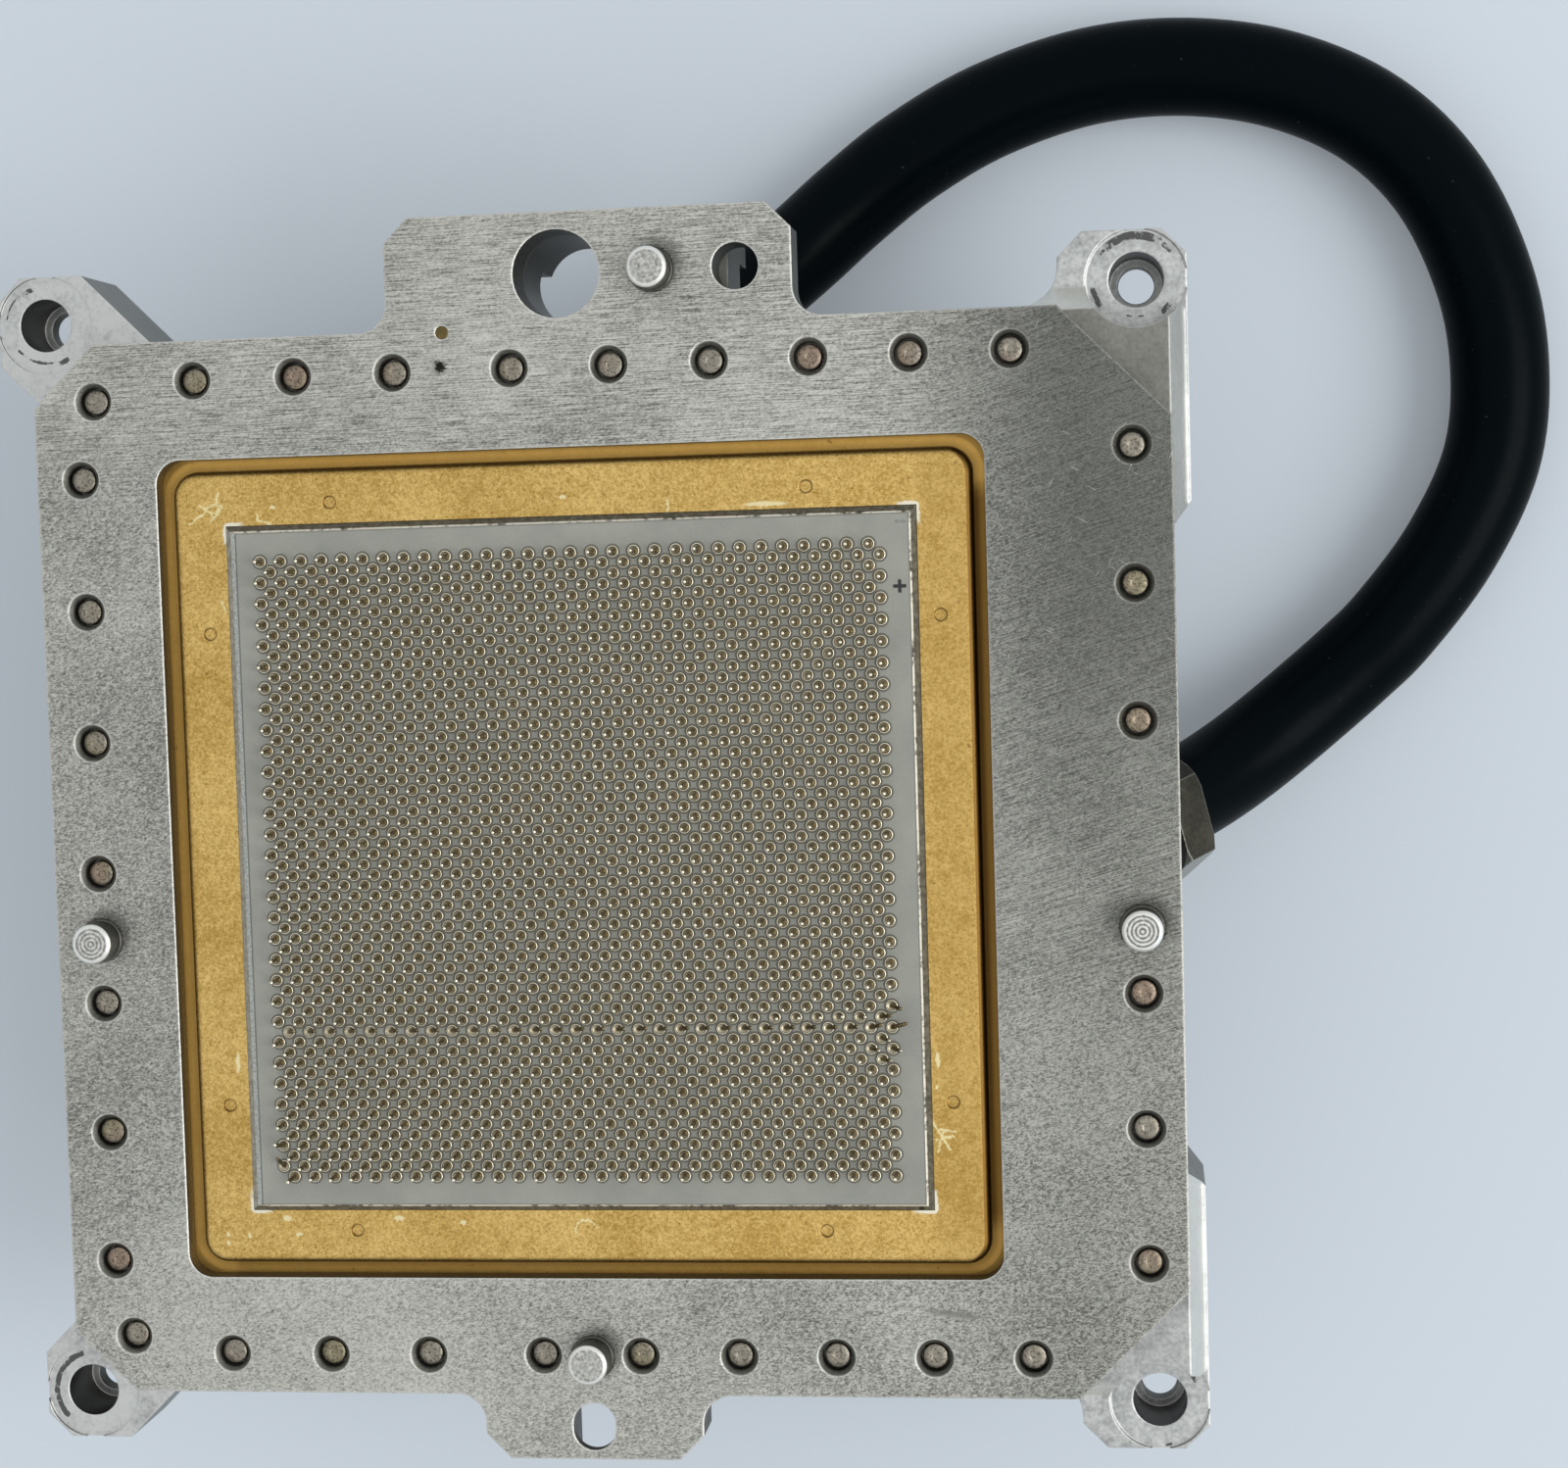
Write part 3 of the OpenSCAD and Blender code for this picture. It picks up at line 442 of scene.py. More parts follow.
def plate_finish():
    """Abraded grey metal: mottled, and brushed aslant at the upper right and level along the top.

    It has painted shade at the right, painted shade in the countersinks and on the hole walls, and painted
    highlights and wear on its edges.
    """
    plate = Finish("plate_abraded", (160, 160, 154), 0.42, 1.0)
    x, y, z = plate.at()
    fine = plate.grain(4.2, 3.0, 0.7, 10, (0.7, 1.3, 1))
    coarse = plate.grain(1.7, 3.0, 0.65, 25, (1, 1.5, 1))
    broad = plate.grain(0.05, 3.0, 0.6)
    slant = plate.grain(1.0, 3.0, 0.7, 17, (0.16, 7.0, 1))
    level = plate.grain(1.0, 3.0, 0.7, 1, (0.2, 7.0, 1))

    # Zones of the face, with borders that wander
    drift = (broad - 0.5) * 24.0
    right = (x + drift).rise(40.0, 56.0) * (y + drift).rise(-34.0, -6.0)
    top = (y + drift * 0.5).rise(42.0, 54.0) * (1 - right)
    # Painted shade over the right side, stronger towards the top, where the grain also shows more
    painted_shade_right = (x + drift * 0.3).rise(34.0, 62.0) * (0.4 + 0.42 * y.rise(-20.0, 40.0))
    # Painted light: paler patches at the lower left and the right, and along the top left of the upper right
    painted_light = highest(spot(x, y, *patch) * strength for *patch, strength in PLATE_PAINTED_LIGHT)
    painted_light = painted_light.over(y.rise(44.0, 58.0) * x.rise(50.0, 30.0) * 0.5)

    # Grain, painted shade at the right, scratches and pits
    mottle = (fine - 0.5) * 2.2 + (coarse - 0.5) * 0.8
    brushed = (slant - 0.5) * right * 2.2 + (level - 0.5) * top * 2.2
    lines = brushed + mottle * (1 + 0.9 * painted_shade_right - 0.5 * right - 0.3 * top)
    tone = 0.5 + lines * 0.9 + (broad - 0.5) * 0.5 + painted_light * 0.18
    plate.ground(tone.rise(0.0, 1.0), (99, 99, 93), (212, 212, 204))
    plate.paint(painted_shade_right, (82, 84, 79))
    scratch = highest(plate.grain(1.0, 2.0, 0.5, turn, (0.3, 5.0, 1)) for turn in (62, -28))
    plate.paint(scratch.rise(0.68, 0.78) * 0.45, (230, 230, 222))
    pits = plate.grain(1.7, 2.0, 0.5, 0, (1, 1, 1), (0.3, 0.1, 0)).rise(0.70, 0.76)
    plate.paint(pits * 0.6, (58, 56, 50))

    # Painted shade in the countersinks, darkest at their lower end, and on the hole walls
    facing = plate.facing()
    wall = facing.rise(0.4, 0.2)
    cone = facing.rise(0.95, 0.8) * (1 - wall)
    plate.paint(cone * 0.85, (100, 100, 93))
    plate.paint(cone * z.rise(FRONT - 0.4, FRONT - 0.55) * 0.9, (22, 21, 19))
    plate.paint(wall * 0.8, (48, 46, 42))

    # Painted highlights and wear on the edges, but not round the dowels, and a painted shadow beside each
    # dowel
    upward = facing.rise(0.2, 0.9)
    ring = highest(spot(x, y, cx, cy, DOWEL_R + 0.6, 0.3) for cx, cy in DOWEL_AT.values())
    shade = highest(spot(x, y, cx + 0.8, cy + 0.9, DOWEL_R + 0.3, 1.1) for cx, cy in DOWEL_AT.values())
    rounded = plate.rounded(0.45)
    broken = coarse.rise(0.3, 0.5) * 0.5 + 0.5
    bright = plate.edge(rounded, 12.0) * upward * (1 - ring) * broken * (1 - 0.8 * painted_shade_right)
    plate.paint(bright * 0.9, (240, 240, 233))
    plate.paint(shade * upward * 0.62, (48, 47, 44))

    # The deep pit and the smear
    pit = spot(x + (fine - 0.5) * 1.6, y + (coarse - 0.5) * 1.8, *PLATE_PIT, 0.75, 0.3)
    plate.paint(pit, (44, 41, 36))
    smear = stroke(x, y + (coarse - 0.5) * 1.2, *PLATE_SMEAR, 0.7) * fine.rise(0.4, 0.6)
    plate.paint(smear * 0.6, (70, 69, 64))
    plate.set("Roughness", 0.36 + 0.2 * fine)
    plate.bump(lines - pit * 4.0 - pits, 0.4, 0.06, rounded)
    return plate.material


# Pale scratches on the gold: both ends of each
GOLD_MARKS = (
    ((-46.4, 42.2), (-44.0, 44.3)), ((-45.1, 44.5), (-43.4, 43.4)), ((-42.75, 46.0), (-42.9, 44.5)),
    ((-42.3, 44.4), (-43.7, 42.6)), ((-42.5, 44.5), (-43.5, 43.1)), ((-44.4, 44.2), (-43.0, 44.6)),
    ((-37.95, 43.2), (-37.95, 42.6)), ((-37.95, 42.6), (-37.3, 42.3)), ((-37.3, 42.3), (-36.3, 42.1)),
    ((12.3, 43.5), (12.3, 42.0)), ((-1.7, -44.7), (-1.4, -43.6)), ((-1.4, -43.6), (-0.2, -43.0)),
    ((-0.2, -43.0), (1.0, -44.0)), ((-42.8, 32.9), (-42.4, 31.6)), ((42.0, -31.4), (43.9, -34.6)),
    ((43.4, -32.2), (42.4, -34.8)), ((42.8, -32.2), (44.6, -32.5)), ((42.3, -33.5), (44.3, -33.0)))
GOLD_MARK_WIDTH = 0.22
# Pale flakes on the gold: middle and the two half lengths
GOLD_FLAKES = (
    (24.1, 42.5, 2.6, 0.3), (-0.3, 44.1, 0.4, 0.2), (-36.0, 44.0, 0.3, 0.25), (42.75, -23.8, 0.3, 0.9),
    (42.55, -27.1, 0.25, 0.3), (-23.6, -42.9, 0.7, 0.3), (-15.7, -43.4, 0.35, 0.3), (-45.3, -44.9, 0.3, 0.3),
    (-42.6, -45.1, 0.2, 0.4), (-36.2, -44.9, 0.35, 0.25), (-37.7, -42.9, 0.6, 0.35),
    (-45.3, -46.0, 0.25, 0.25), (-43.1, -23.6, 0.3, 1.3))


def gold_finish():
    """Gold plating on the flange: satin and grainy, with painted shade and painted light on the shoulder and
    in the groove, and pale scratches and flakes.
    """
    gold = Finish("gold_plating", (206, 172, 99), 0.38, 1.0)
    x, y, _ = gold.at()
    broad = gold.grain(0.07, 4.0, 0.6)
    coarse = gold.grain(0.8, 4.0, 0.6)
    fine = gold.grain(2.8, 3.0, 0.7)
    tone = (broad * 0.25 + coarse * 0.2 + fine * 0.55).rise(0.36, 0.64)
    gold.ground(tone, (190, 153, 78), (240, 206, 130))
    gold.paint(gold.grain(3.4, 2.0, 0.6).rise(0.55, 0.68) * 0.5, (142, 104, 48))

    # Shoulder, groove and outer wall, by distance from the shoulder's foot: painted shade at the right, on
    # the shoulder, on faces turned to the right, in the crease at the foot and on the outer wall, and painted
    # light in the groove at the top, left and bottom
    away = square_outline(x, y, WINDOW_HALF - GROOVE_W, WINDOW_R)
    lit = y.over(0 - x).rise(42.0, 45.5).over((0 - y).rise(42.0, 45.5) * 0.7)
    gold.paint(x.rise(40.0, 44.0) * 0.3, (172, 136, 68))
    gold.paint(away.rise(-1.2, 0.1) * (0.75 - 0.35 * lit), (120, 86, 36))
    gold.paint(gold.facing(0).rise(0.06, 0.3) * 0.85, (84, 57, 22))
    foot = away.rise(-0.45, 0.05) * away.rise(1.1, 0.3)
    groove = gold.blend(lit, (134, 98, 42), (226, 178, 92))
    gold.paint(away.rise(0.0, 0.3) * (0.3 + 0.35 * coarse + 0.2 * lit), groove)
    gold.paint(foot * (0.6 + 0.3 * broad) * (1 - 0.55 * lit), (62, 40, 14))
    gold.paint(away.rise(GROOVE_W - 0.25, GROOVE_W) * (0.6 - 0.3 * lit), (70, 48, 18))

    # Outlines of the dimples, flecks, scratches and flakes
    far, near = abs(x).over(abs(y)), abs(x).under(abs(y))
    outline = abs(span(far - DIMPLE_OUT, near - DIMPLE_ASIDE) - (DIMPLE_R - 0.01))
    gold.paint(outline.rise(0.17, 0.04) * 0.6, (112, 78, 32))
    gold.paint(gold.grain(1.3, 2.0, 0.5).rise(0.69, 0.75) * 0.5, (126, 84, 36))
    bend = (coarse - 0.5) * 0.9
    bent_x, bent_y, rough_y = x + bend, y - bend, y + (fine - 0.5) * 0.7
    marks = highest(stroke(bent_x, bent_y, a, b, GOLD_MARK_WIDTH) for a, b in GOLD_MARKS)
    gold.paint(marks * fine.rise(0.35, 0.5) * 0.9, (250, 236, 180))
    flakes = highest(
        span((bent_x - cx) / rx, (rough_y - cy) / ry).rise(1.2, 0.7) for cx, cy, rx, ry in GOLD_FLAKES)
    gold.paint(flakes * 0.85, (252, 240, 190))

    # Ragged braze that ran out at the corners of the collar
    ragged = square_outline(x, y, COLLAR_FOOT, 0.2) + (coarse - 0.5) * 1.1 + (fine - 0.5) * 0.4
    corner = (near + (coarse - 0.5) * 3.0).rise(39.0, 40.6)
    gold.paint(ragged.rise(0.5, 0.3) * corner, (250, 244, 222))
    gold.set("Roughness", 0.34 + 0.18 * fine)
    gold.bump(fine * 0.6 + coarse * 0.4, 0.2, 0.06, gold.rounded(0.3))
    return gold.material


# Marks on the ceramic: a cross, a short dash, and the border of the paler band of painted light at the left
CROSS_AT, CROSS_HALF, CROSS_WIDTH = (39.75, 32.4), 0.6, 0.28
DASH = ((39.5, 39.95), (40.5, 39.93))
BAND_AT = 40.42


def ceramic_finish():
    """Matt grey fired ceramic: a faint cloud, painted shade round the pads, a paler band of painted light at
    the left and two printed marks.
    """
    ceramic = Finish("ceramic_grey", (150, 151, 142), 0.5)
    x, y, _ = ceramic.at()
    cloud = ceramic.grain(0.12, 4.0, 0.6)
    fine = ceramic.grain(3.0, 3.0, 0.6)
    ceramic.ground((cloud * 0.75 + fine * 0.25).rise(0.25, 0.75), (132, 134, 126), (152, 153, 144))
    # Painted shade round each pad
    ceramic.paint(pin_distance(x, y).rise(1.02, 0.84) * 0.78, (74, 72, 60))
    border = abs(x).over(abs(y)).rise(FACE_HALF - 0.25, FACE_HALF - 0.05)
    ceramic.paint(border * (0.35 + 0.5 * cloud), (96, 97, 90))
    # Painted light: a paler band at the left that widens the collar's lit left slope, with a dark line at its
    # border
    band = (0 - x).rise(BAND_AT - 0.02, BAND_AT + 0.13)
    ceramic.paint(band * 0.8, ceramic.blend(fine.rise(0.35, 0.65), (132, 136, 132), (172, 175, 170)))
    ceramic.paint(abs(x + BAND_AT).rise(0.14, 0.05) * 0.75, (82, 83, 78))
    cx, cy = CROSS_AT
    level = stroke(x, y, (cx - CROSS_HALF, cy), (cx + CROSS_HALF, cy), CROSS_WIDTH)
    upright = stroke(x, y, (cx, cy - CROSS_HALF), (cx, cy + CROSS_HALF), CROSS_WIDTH)
    ceramic.paint((level.over(upright) * 2.2).under(1.0), (34, 34, 33))
    dash = stroke(x, y, *DASH, 0.3) * fine.rise(0.3, 0.55)
    ceramic.paint(dash * 0.6, (96, 98, 96))
    ceramic.set("Roughness", 0.45 + 0.15 * fine)
    ceramic.bump(fine, 0.1, 0.03)
    return ceramic.material


# A dark chip near the lower right corner of the collar
COLLAR_CHIP = (40.35, -41.6)


def collar_finish():
    """Braze collar round the pin face: dull slopes, greyer and less metallic on the left with painted light,
    a broken painted highlight along the top and painted shade at the foot.
    """
    collar = Finish("braze_collar", (96, 96, 88), 0.36, 0.6)
    x, y, _ = collar.at()
    fine = collar.grain(1.6, 3.0, 0.6)
    cloud = collar.grain(0.22, 3.0, 0.6)
    patchy = fine.rise(0.3, 0.7)
    collar.ground(patchy, (82, 82, 74), (116, 116, 107))
    # Painted light on the left slope
    left = (0 - x - abs(y)).rise(-0.05, 0.05)
    collar.paint(left * 0.9, collar.blend(patchy, (132, 135, 130), (178, 181, 176)))
    reach = abs(x).over(abs(y))
    # Painted highlight along the top edge
    line = reach.rise(FACE_HALF + 0.27, FACE_HALF + 0.15) * (cloud * 0.7 + fine * 0.5).rise(0.46, 0.62)
    collar.paint(line * (1 - left), (246, 246, 238))
    # Painted shade at the foot
    collar.paint(reach.rise(COLLAR_FOOT - 0.2, COLLAR_FOOT - 0.05) * (1 - 0.5 * left) * 0.7, (60, 54, 40))
    collar.paint(spot(x, y, *COLLAR_CHIP, 0.35, 0.12), (30, 28, 24))
    collar.set("Roughness", 0.3 + 0.2 * fine)
    collar.set("Metallic", 0.6 - 0.5 * left)
    collar.bump(fine, 0.3, 0.08)
    return collar.material


def metal_finish(name, dark, pale, roughness, scale, edge_color=(226, 226, 222)):
    """Plain machined metal: two tones in a soft cloud, with painted highlights and wear along its edges."""
    metal = Finish(name, pale, roughness, 1.0)
    cloud = metal.grain(scale * 0.15, 4.0, 0.6)
    fine = metal.grain(scale * 2.0, 4.0, 0.65)
    rounded = metal.rounded(0.3)
    metal.ground((cloud * 0.65 + fine * 0.35).rise(0.3, 0.7), dark, pale)
    # Painted highlights and wear along the edges
    metal.paint(metal.edge(rounded) * 0.7, edge_color)
    metal.set("Roughness", roughness - 0.06 + 0.12 * fine)
    metal.bump(fine, 0.15, 0.05, rounded)
    return metal.material


# Rub marks on the lug rings: lug signs, middle angle and half angle in degrees, inner and outer radius
LUG_MARKS = (
    (1, 1, 95, 40, 4.7, 5.8), (1, 1, 45, 8, 4.9, 5.6), (1, 1, 140, 6, 5.0, 5.5), (1, 1, 202, 15, 4.8, 5.6),
    (1, 1, -44, 9, 4.5, 5.3), (1, 1, 258, 2, 4.2, 4.5), (1, 1, 276, 2, 4.2, 4.5), (-1, -1, 165, 62, 4.5, 5.3),
    (-1, 1, 250, 34, 4.5, 4.9), (-1, 1, 296, 9, 4.7, 5.4), (-1, 1, 118, 9, 4.5, 5.2),
    (-1, 1, 150, 22, 5.0, 5.3), (1, -1, 48, 24, 4.6, 5.2), (1, -1, 96, 16, 4.4, 4.7),
    (1, -1, -80, 4, 5.4, 5.9))


def housing_finish():
    """Light machined aluminium, paler towards the left by painted light: painted shade on the sides and in
    the lug bores, painted highlights on the slopes and edges, a grey flange face and rub marks round the lug
    holes.
    """
    housing = Finish("housing_aluminium", (200, 202, 200), 0.4, 1.0)
    x, y, z = housing.at()
    cloud = housing.grain(0.12, 4.0, 0.6)
    coarse = housing.grain(0.7, 4.0, 0.6)
    fine = housing.grain(1.8, 4.0, 0.65)
    # Painted light: paler towards the left
    tone = (cloud * 0.4 + coarse * 0.25 + fine * 0.35 + x.rise(60.0, -60.0) * 0.09).rise(0.34, 0.66)
    housing.ground(tone, (148, 151, 150), (214, 216, 213))

    # Flange face under the plate, painted shade on the walls and in the lug bores, and painted highlights on
    # the slopes
    facing = housing.facing()
    flange = z.rise(PLATE_BACK - 0.6, PLATE_BACK - 0.3) * facing.rise(0.8, 0.95)
    upper = y.rise(-20.0, 30.0)
    housing.paint(flange * (0.15 + 0.65 * upper), housing.blend(fine, (104, 103, 94), (138, 137, 128)))
    wall = facing.rise(0.24, 0.1)
    housing.paint(wall * 0.75, (84, 82, 77))
    slope = facing.rise(0.2, 0.28) * facing.rise(0.8, 0.6)
    housing.paint(slope * 0.7, (244, 242, 234))
    bore = span(abs(x) - LUG_AT, abs(y) - LUG_AT).rise(LUG_BORE_R + 0.4, LUG_BORE_R + 0.2)
    housing.paint(bore * wall * 0.8, (62, 59, 53))

    # Rub marks with broken borders, and painted highlights and wear on the edges
    rub = highest(arc(x - sx * LUG_AT, y - sy * LUG_AT, *ring) for sx, sy, *ring in LUG_MARKS)
    rub = (rub * 0.62 + (coarse - 0.5) * 1.3 + (fine - 0.5) * 0.9).rise(0.42, 0.6) * rub.rise(0.05, 0.3)
    housing.paint(rub * facing.rise(0.5, 0.9) * 0.85, (48, 48, 46))
    rounded = housing.rounded(0.4)
    housing.paint(housing.edge(rounded) * 0.6 * (1 - wall), (242, 243, 240))
    housing.set("Roughness", 0.34 + 0.22 * fine)
    housing.bump(fine * 0.6 + coarse * 0.5, 0.25, 0.08, rounded)
    return housing.material


def dowel_finish(name, cx, cy, turned_rings):
    """Steel dowel end: a mottled face, a painted highlight on its rim, painted shade on its side, and turned
    rings about the dowel's own axis.
    """
    dowel = Finish(name, (150, 150, 146), 0.36, 1.0)
    x, y, z = dowel.at()
    away = span(x - cx, y - cy)
    rings = (away * 13.0 + 0.6).sine()
    fine = dowel.grain(1.9, 4.0, 0.7, 0, (1, 1, 1), (0.01 * cx, 0.01 * cy, 0))
    tone = 0.5 + rings * 0.42 * turned_rings + (fine - 0.5) * 1.6
    dowel.ground(tone.rise(0.0, 1.0), (128, 128, 123), (238, 238, 232))
    top = dowel.facing().rise(0.3, 0.6) * z.rise(FRONT + 0.6, FRONT + 1.0)
    # Painted highlight on the rim of the end
    dowel.paint(away.rise(DOWEL_R - 0.55, DOWEL_R - 0.3) * top * 0.9, (250, 250, 245))
    # Painted shade on the side
    dowel.paint((1 - top) * 0.9, (70, 68, 62))
    dowel.set("Roughness", 0.3 + 0.15 * fine)
    dowel.bump(rings * 0.5 * turned_rings + fine * 0.5, 0.25, 0.04, dowel.rounded(0.3))
    return dowel.material


def screw_finish():
    """Bronze coloured screw ends: each a little pinker, greener or greyer than the next, with dark pits."""
    screw = Finish("screw_bronze", (150, 140, 122), 0.42, 1.0)
    hue = screw.grain(0.09, 1.0, 0.5)
    cast = screw.grain(0.08, 1.0, 0.5, 40, (1, 1, 1), (0.4, 0.2, 0))
    fine = screw.grain(3.0, 3.0, 0.65)
    screw.ground(hue.rise(0.42, 0.58), (158, 141, 125), (154, 147, 122))
    screw.paint(cast.rise(0.45, 0.6), (160, 154, 141))
    screw.paint(fine.rise(0.48, 0.64) * 0.75, (82, 73, 61))
    screw.set("Roughness", 0.36 + 0.2 * fine)
    screw.bump(fine, 0.3, 0.06)
    return screw.material


def nut_finish():
    """Olive grey nut with painted light on the flats that face towards -Y and painted highlights on its
    edges.
    """
    nut = Finish("nut_olive", (90, 88, 78), 0.42, 1.0)
    cloud = nut.grain(0.2, 4.0, 0.6)
    fine = nut.grain(1.8, 4.0, 0.65)
    rounded = nut.rounded(0.3)
    nut.ground((cloud * 0.6 + fine * 0.4).rise(0.3, 0.7), (52, 51, 45), (80, 78, 69))
    # Painted light on the flats that face towards -Y
    nut.paint(nut.facing(1).rise(-0.2, -0.55) * 0.75, (186, 187, 182))
    # Painted highlights on the edges
    nut.paint(nut.edge(rounded) * 0.7, (178, 177, 168))
    nut.set("Roughness", 0.36 + 0.12 * fine)
    nut.bump(fine, 0.15, 0.05, rounded)
    return nut.material


def hose_finish():
    """Black satin rubber with faint flecks of dust."""
    rubber = Finish("hose_black", (5, 9, 12), 0.42)
    fleck = rubber.grain(1.3, 2.0, 0.5).rise(0.74, 0.8)
    fine = rubber.grain(0.6, 4.0, 0.6)
    rubber.ground(fleck * 0.3, (3, 9, 12), (74, 80, 84))
    rubber.set("Specular IOR Level", 0.03)
    rubber.set("Roughness", 0.25 + 0.14 * fine)
    rubber.bump(fine, 0.1, 0.1)
    return rubber.material


def pad_finish():
    """Braze on the pads, from the pin out: bronze dish, thin pale ring, dark line, cream rim with a painted
    highlight, and walls in painted shade.
    """
    pad = Finish("pad_braze", (196, 186, 160), 0.34, 1.0)
    x, y, _ = pad.at()
    away = pin_distance(x, y)
    fine = pad.grain(0.9, 4.0, 0.6)
    grit = pad.grain(4.0, 2.0, 0.6)
    pad.ground(grit.rise(0.35, 0.65), (150, 139, 112), (184, 173, 146))
    pad.paint(away.rise(0.38, 0.43) * 0.7, (214, 207, 186))
    pad.paint(away.rise(0.47, 0.51) * 0.85, (84, 76, 57))
    # Painted highlight on the raised rim
    pad.paint(away.rise(0.57, 0.62), pad.blend(fine.rise(0.35, 0.7), (242, 236, 217), (220, 210, 182)))
    # Painted shade on the walls
    pad.paint(away.rise(PAD_R - 0.05, PAD_R), (66, 60, 46))
    pad.set("Roughness", 0.26 + 0.2 * fine)
    return pad.material


def pin_finish():
    """Gold plated pins: brown shafts with a painted highlight on the tips."""
    pin = Finish("pin_gold", (196, 176, 128), 0.26, 1.0)
    _, _, z = pin.at()
    fine = pin.grain(1.5, 3.0, 0.6)
    pin.ground(fine.rise(0.35, 0.65), (104, 93, 68), (140, 127, 96))
    # Painted highlight on the tips
    pin.paint(z.rise(FRONT + PIN_H - 0.35, FRONT + PIN_H - 0.1), (250, 244, 222))
    return pin.material


FINISH = {
    "plate": plate_finish(),
    "gold": gold_finish(),
    "ceramic": ceramic_finish(),
    "housing": housing_finish(),
    "hose": hose_finish(),
    "pad": pad_finish(),
    "pin": pin_finish(),
    "collar": collar_finish(),
    "screw": screw_finish(),
    "plug": metal_finish("plug_brass", (96, 84, 52), (132, 116, 76), 0.4, 2.5, (120, 106, 70)),
    "cold": metal_finish("cold_plate_metal", (132, 134, 134), (170, 172, 172), 0.42, 0.5),
    "bolt": metal_finish("bolt_black", (44, 44, 46), (72, 72, 74), 0.4, 1.5, (130, 130, 132)),
    "fitting": metal_finish("fitting_grey", (86, 86, 78), (126, 126, 116), 0.42, 1.0, (176, 176, 166)),
    "nut": nut_finish(),
    "inner": metal_finish("inner_metal", (140, 142, 144), (190, 192, 194), 0.36, 1.5),
    "chip": metal_finish("chip_dark", (40, 42, 46), (70, 72, 78), 0.3, 1.5, (110, 112, 116)),
}
FINISH_OF = {
    "base_plate": "plate", "substrate_flange": "gold", "ceramic_substrate": "ceramic",
    "braze_fillet": "collar", "chips": "chip", "pistons": "inner", "piston_springs": "inner",
    "housing": "housing", "seal_ring": "inner", "clamp_screws": "screw", "tab_plug": "plug",
    "cold_plate": "cold", "cold_plate_cover": "cold", "cold_plate_screws": "bolt", "side_elbow": "fitting",
    "top_elbow": "fitting", "side_nut": "nut", "top_nut": "nut"}
# How strongly the turned rings show on each dowel
DOWEL_RINGS = {"dowel_top": 0.1, "dowel_left": 0.6, "dowel_right": 1.0, "dowel_bottom": 0.1}


def dress(name, finish):
    """Gives a solid from the frame its finish."""
    mesh = nodes[name].data
    mesh.materials.clear()
    mesh.materials.append(finish)


for node_name, finish_name in FINISH_OF.items():
    dress(node_name, FINISH[finish_name])
for node_name, rings in DOWEL_RINGS.items():
    dress(node_name, dowel_finish(node_name + "_steel", *DOWEL_AT[node_name], rings))
hose_tube.data.materials.append(FINISH["hose"])

# Pin field: profiles of radius and height above the pin face
PAD_PROFILE = ((PAD_R + 0.01, 0.0), (0.73, 0.12), (0.65, 0.17), (0.55, 0.1), (0.2, 0.05))
PIN_PROFILE = ((PIN_R, 0.03), (PIN_R, 1.95), (0.21, 2.2), (0.1, 2.29))
PAD_SIDES, PIN_SIDES = 12, 8


def pin_places():
    """Middles of the pins: rows from the top down, every second row shifted by half a pitch."""
    r, c = np.meshgrid(np.arange(PIN_ROWS), np.arange(PIN_COLS), indexing="ij")
    x = (c - (PIN_COLS - 0.5) / 2 + (r % 2) / 2) * PIN_PITCH
    y = ((PIN_ROWS - 1) / 2 - r) * PIN_PITCH / 2
    return np.stack([x, y, np.full(x.shape, FRONT)], -1).reshape(-1, 3)


def make_pads(places):
    """Pads: a small turned shape with a raised rim and a dish that ends inside the pin."""
    verts, faces = repeated(*turned(PAD_PROFILE, PAD_SIDES, False), places)
    obj = mesh_piece("pin_pad_field", verts, faces)
    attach(obj, "root")
    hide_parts("pin_pads_upper", "pin_pads_lower")
    obj.data.materials.append(FINISH["pad"])


# Every pin's tip strays a little; a push is how far a tip goes to the right and up
TIP_STRAYS, STRAY_SEED = 0.03, 7
# One row is bent, and the row above it more and more to the right, from BENT_FROM over BENT_SPAN
BENT_ROW, ROW_PUSH = 45, (1.3, 0.45)
ABOVE_PUSH, ABOVE_GROWS = (0.1, 0.0), (0.95, 0.4)
BENT_FROM, BENT_SPAN = -20, 58
# A bent diagonal: its first row and column, and how many rows it runs down to the left
BENT_DIAGONAL, DIAGONAL_PUSH = (9, 27, 8), (0.4, 0.0)
# Pins bent one by one: row, column and push
BENT_PINS = (
    (43, 29, 1.32, -0.08), (44, 29, 1.4, 0.43), (45, 29, 1.92, 0.69), (45, 28, 1.5, 0.6), (46, 29, 1.12, 0.0),
    (47, 29, 1.17, 0.05), (47, 28, 1.12, 0.1), (48, 29, 1.22, 0.15), (56, 0, -0.5, 0.5), (58, 0, -0.25, 1.35),
    (59, 0, -0.3, -0.3))
# A bent pin leans by its share of the height to this power, and sinks as on a circle of this reach
BEND_POWER, BEND_REACH = 1.3, 1.2 * PIN_H


def pin_pushes(places):
    """How far each pin's tip is pushed to the right and up."""
    rng = np.random.default_rng(STRAY_SEED)
    push = rng.normal(0, TIP_STRAYS, (len(places), 2))
    row = np.repeat(np.arange(PIN_ROWS), PIN_COLS)
    push[row == BENT_ROW] += ROW_PUSH
    above = row == BENT_ROW - 1
    grown = np.clip((places[above, :1] - BENT_FROM) / BENT_SPAN, 0, 1) ** 3
    push[above] += ABOVE_PUSH + grown * ABOVE_GROWS
    first, col, run = BENT_DIAGONAL
    k = np.arange(run)
    push[(first + k) * PIN_COLS + col - k // 2] += DIAGONAL_PUSH
    for r, c, right, up in BENT_PINS:
        push[r * PIN_COLS + c] = right, up
    return push


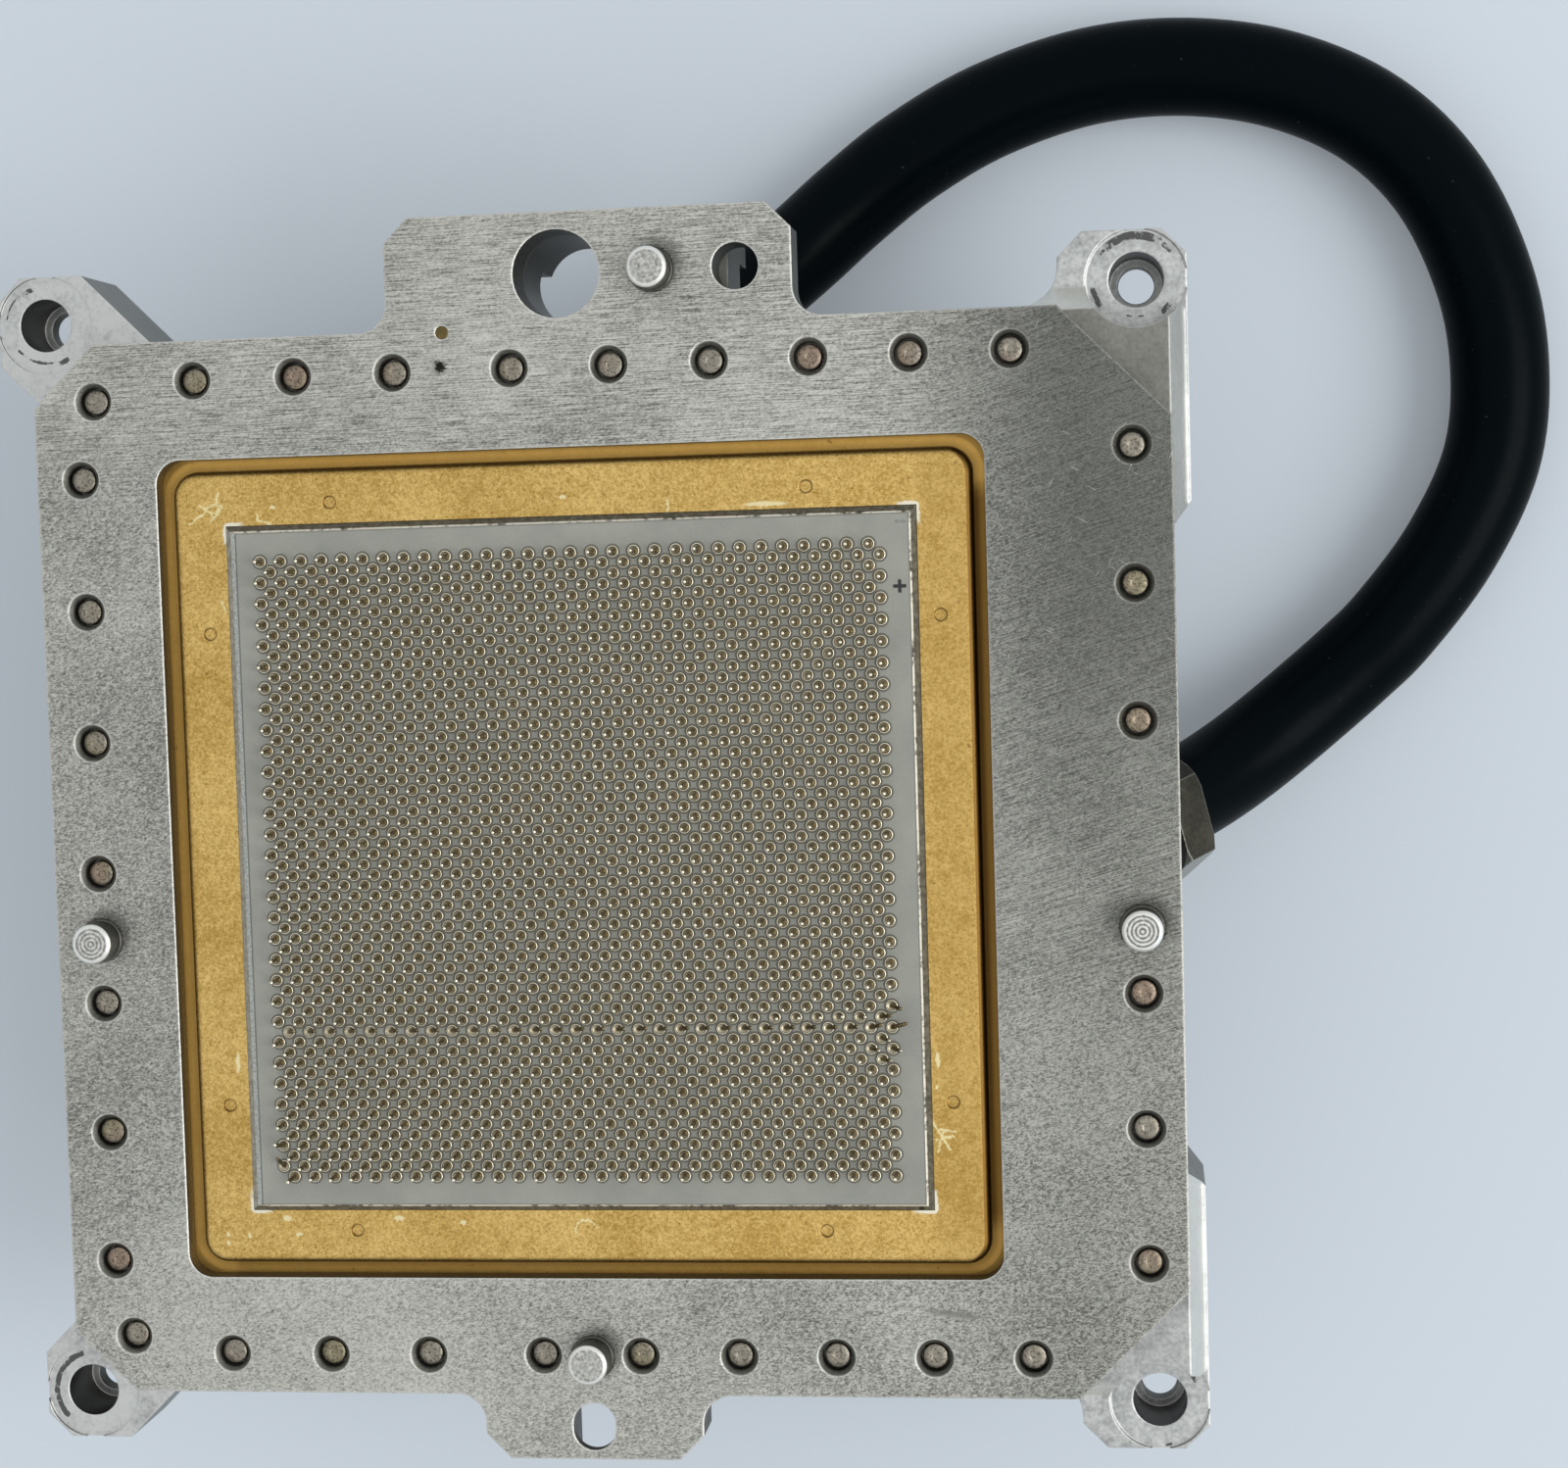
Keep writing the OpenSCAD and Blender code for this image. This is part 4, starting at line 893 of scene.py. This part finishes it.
def make_pins(places):
    """Pins: a turned shaft with a rounded tip, pushed aside by its share of the height to a power.

    The height shrinks as on a circle, by the root of 1 less the square of the push over the reach.
    """
    base, base_faces = turned(PIN_PROFILE, PIN_SIDES)
    verts, faces = repeated(base, base_faces, places)
    share = np.tile(base[:, 2], len(places)) / PIN_H
    push = np.repeat(pin_pushes(places), len(base), 0)
    verts[:, :2] += push * share[:, None] ** BEND_POWER
    verts[:, 2] = FRONT + PIN_H * share * np.sqrt(1 - (push ** 2).sum(1) / BEND_REACH ** 2)
    obj = mesh_piece("pin_field", verts, faces)
    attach(obj, "root")
    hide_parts("contact_pins_upper", "contact_pins_lower")
    obj.data.materials.append(FINISH["pin"])


make_pads(pin_places())
make_pins(pin_places())

# Screw ends: a profile of radius and height above the solid screw's end
SCREW_PROFILE = ((1.5, -0.35), (1.5, -0.05), (1.38, 0.06), (0.5, 0.06), (0.36, -0.02), (0.15, -0.1))
SCREW_SIDES = 24


def screw_places():
    """Middles of the clamp screws round the plate."""
    row = [(x, s * SCREW_LINE) for x in ROW_X for s in (1, -1)]
    corner = [(CORNER_IN - SCREW_LINE, s * (SCREW_LINE - CORNER_DOWN)) for s in (1, -1)]
    left = [(-SCREW_LINE, k * COLUMN_PITCH) for k in range(-3, 4)]
    right = [(SCREW_RIGHT, k * COLUMN_PITCH) for k in (-3, -2, -1, 1, 2, 3)]
    return np.array([(x, y, FRONT - SCREW_DROP) for x, y in row + corner + left + right])


def make_screw_ends():
    """A turned end on each screw: a chamfer, a flat ring and a pit in the middle."""
    verts, faces = repeated(*turned(SCREW_PROFILE, SCREW_SIDES), screw_places())
    obj = mesh_piece("screw_ends", verts, faces)
    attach(obj, "root")
    obj.data.materials.append(FINISH["screw"])


make_screw_ends()

# Floor and light: the floor's half width and height, its colour and the share of it that is lit by itself
FLOOR_HALF, FLOOR_Z = 40000, -0.02
FLOOR_COLOR, FLOOR_GLOW = (201, 210, 218), 0.2
# The lamp's place and width in metres, and its power in watts
LAMP_AT, LAMP_WIDTH, LAMP_POWER = np.array([1.46, -0.27, 1.445]), 1.36, 24.0
SKY_COLOR, SKY_STRENGTH = (0.97, 0.985, 1.0, 1.0), 0.75


def make_floor():
    """A wide level floor. Camera and mirrors see it a little lit by itself, so its shadows stay soft."""
    s, z = FLOOR_HALF, FLOOR_Z
    corners = [(-s, -s, z), (s, -s, z), (s, s, z), (-s, s, z)]
    obj = mesh_piece("floor", corners, [np.array([[0, 1, 2, 3]])], False)
    floor = Finish("floor_pale", FLOOR_COLOR, 0.8)
    rays = highest(floor.node("ShaderNodeLightPath", {}, {}, ray)
                   for ray in ("Is Camera Ray", "Is Glossy Ray", "Is Transmission Ray"))
    glow = floor.node("ShaderNodeEmission", {}, {"Color": srgb(*FLOOR_COLOR), "Strength": 1.0})
    lit = Value(floor, floor.shader.outputs[0])
    mixed = floor.node("ShaderNodeMixShader", {}, {0: rays * FLOOR_GLOW, 1: lit, 2: glow})
    floor.tree.links.new(mixed.socket, floor.tree.nodes["Material Output"].inputs["Surface"])
    obj.data.materials.append(floor.material)


def make_light():
    """One wide soft lamp at the right, turned to the origin, and an even pale sky."""
    lamp = bpy.data.lights.new("key", "AREA")
    lamp.energy = LAMP_POWER
    lamp.shape = "RECTANGLE"
    lamp.size, lamp.size_y = LAMP_WIDTH, LAMP_WIDTH
    obj = bpy.data.objects.new("key", lamp)
    back = LAMP_AT / np.linalg.norm(LAMP_AT)
    right = np.cross([0, 0, 1], back)
    right /= np.linalg.norm(right)
    obj.matrix_world = placed(right, np.cross(back, right), back, LAMP_AT)
    bpy.context.scene.collection.objects.link(obj)
    world = bpy.data.worlds.new("sky")
    world.use_nodes = True
    sky = world.node_tree.nodes["Background"]
    sky.inputs[0].default_value = SKY_COLOR
    sky.inputs[1].default_value = SKY_STRENGTH
    bpy.context.scene.world = world


make_floor()
make_light()
bpy.context.scene.view_settings.view_transform = "Standard"
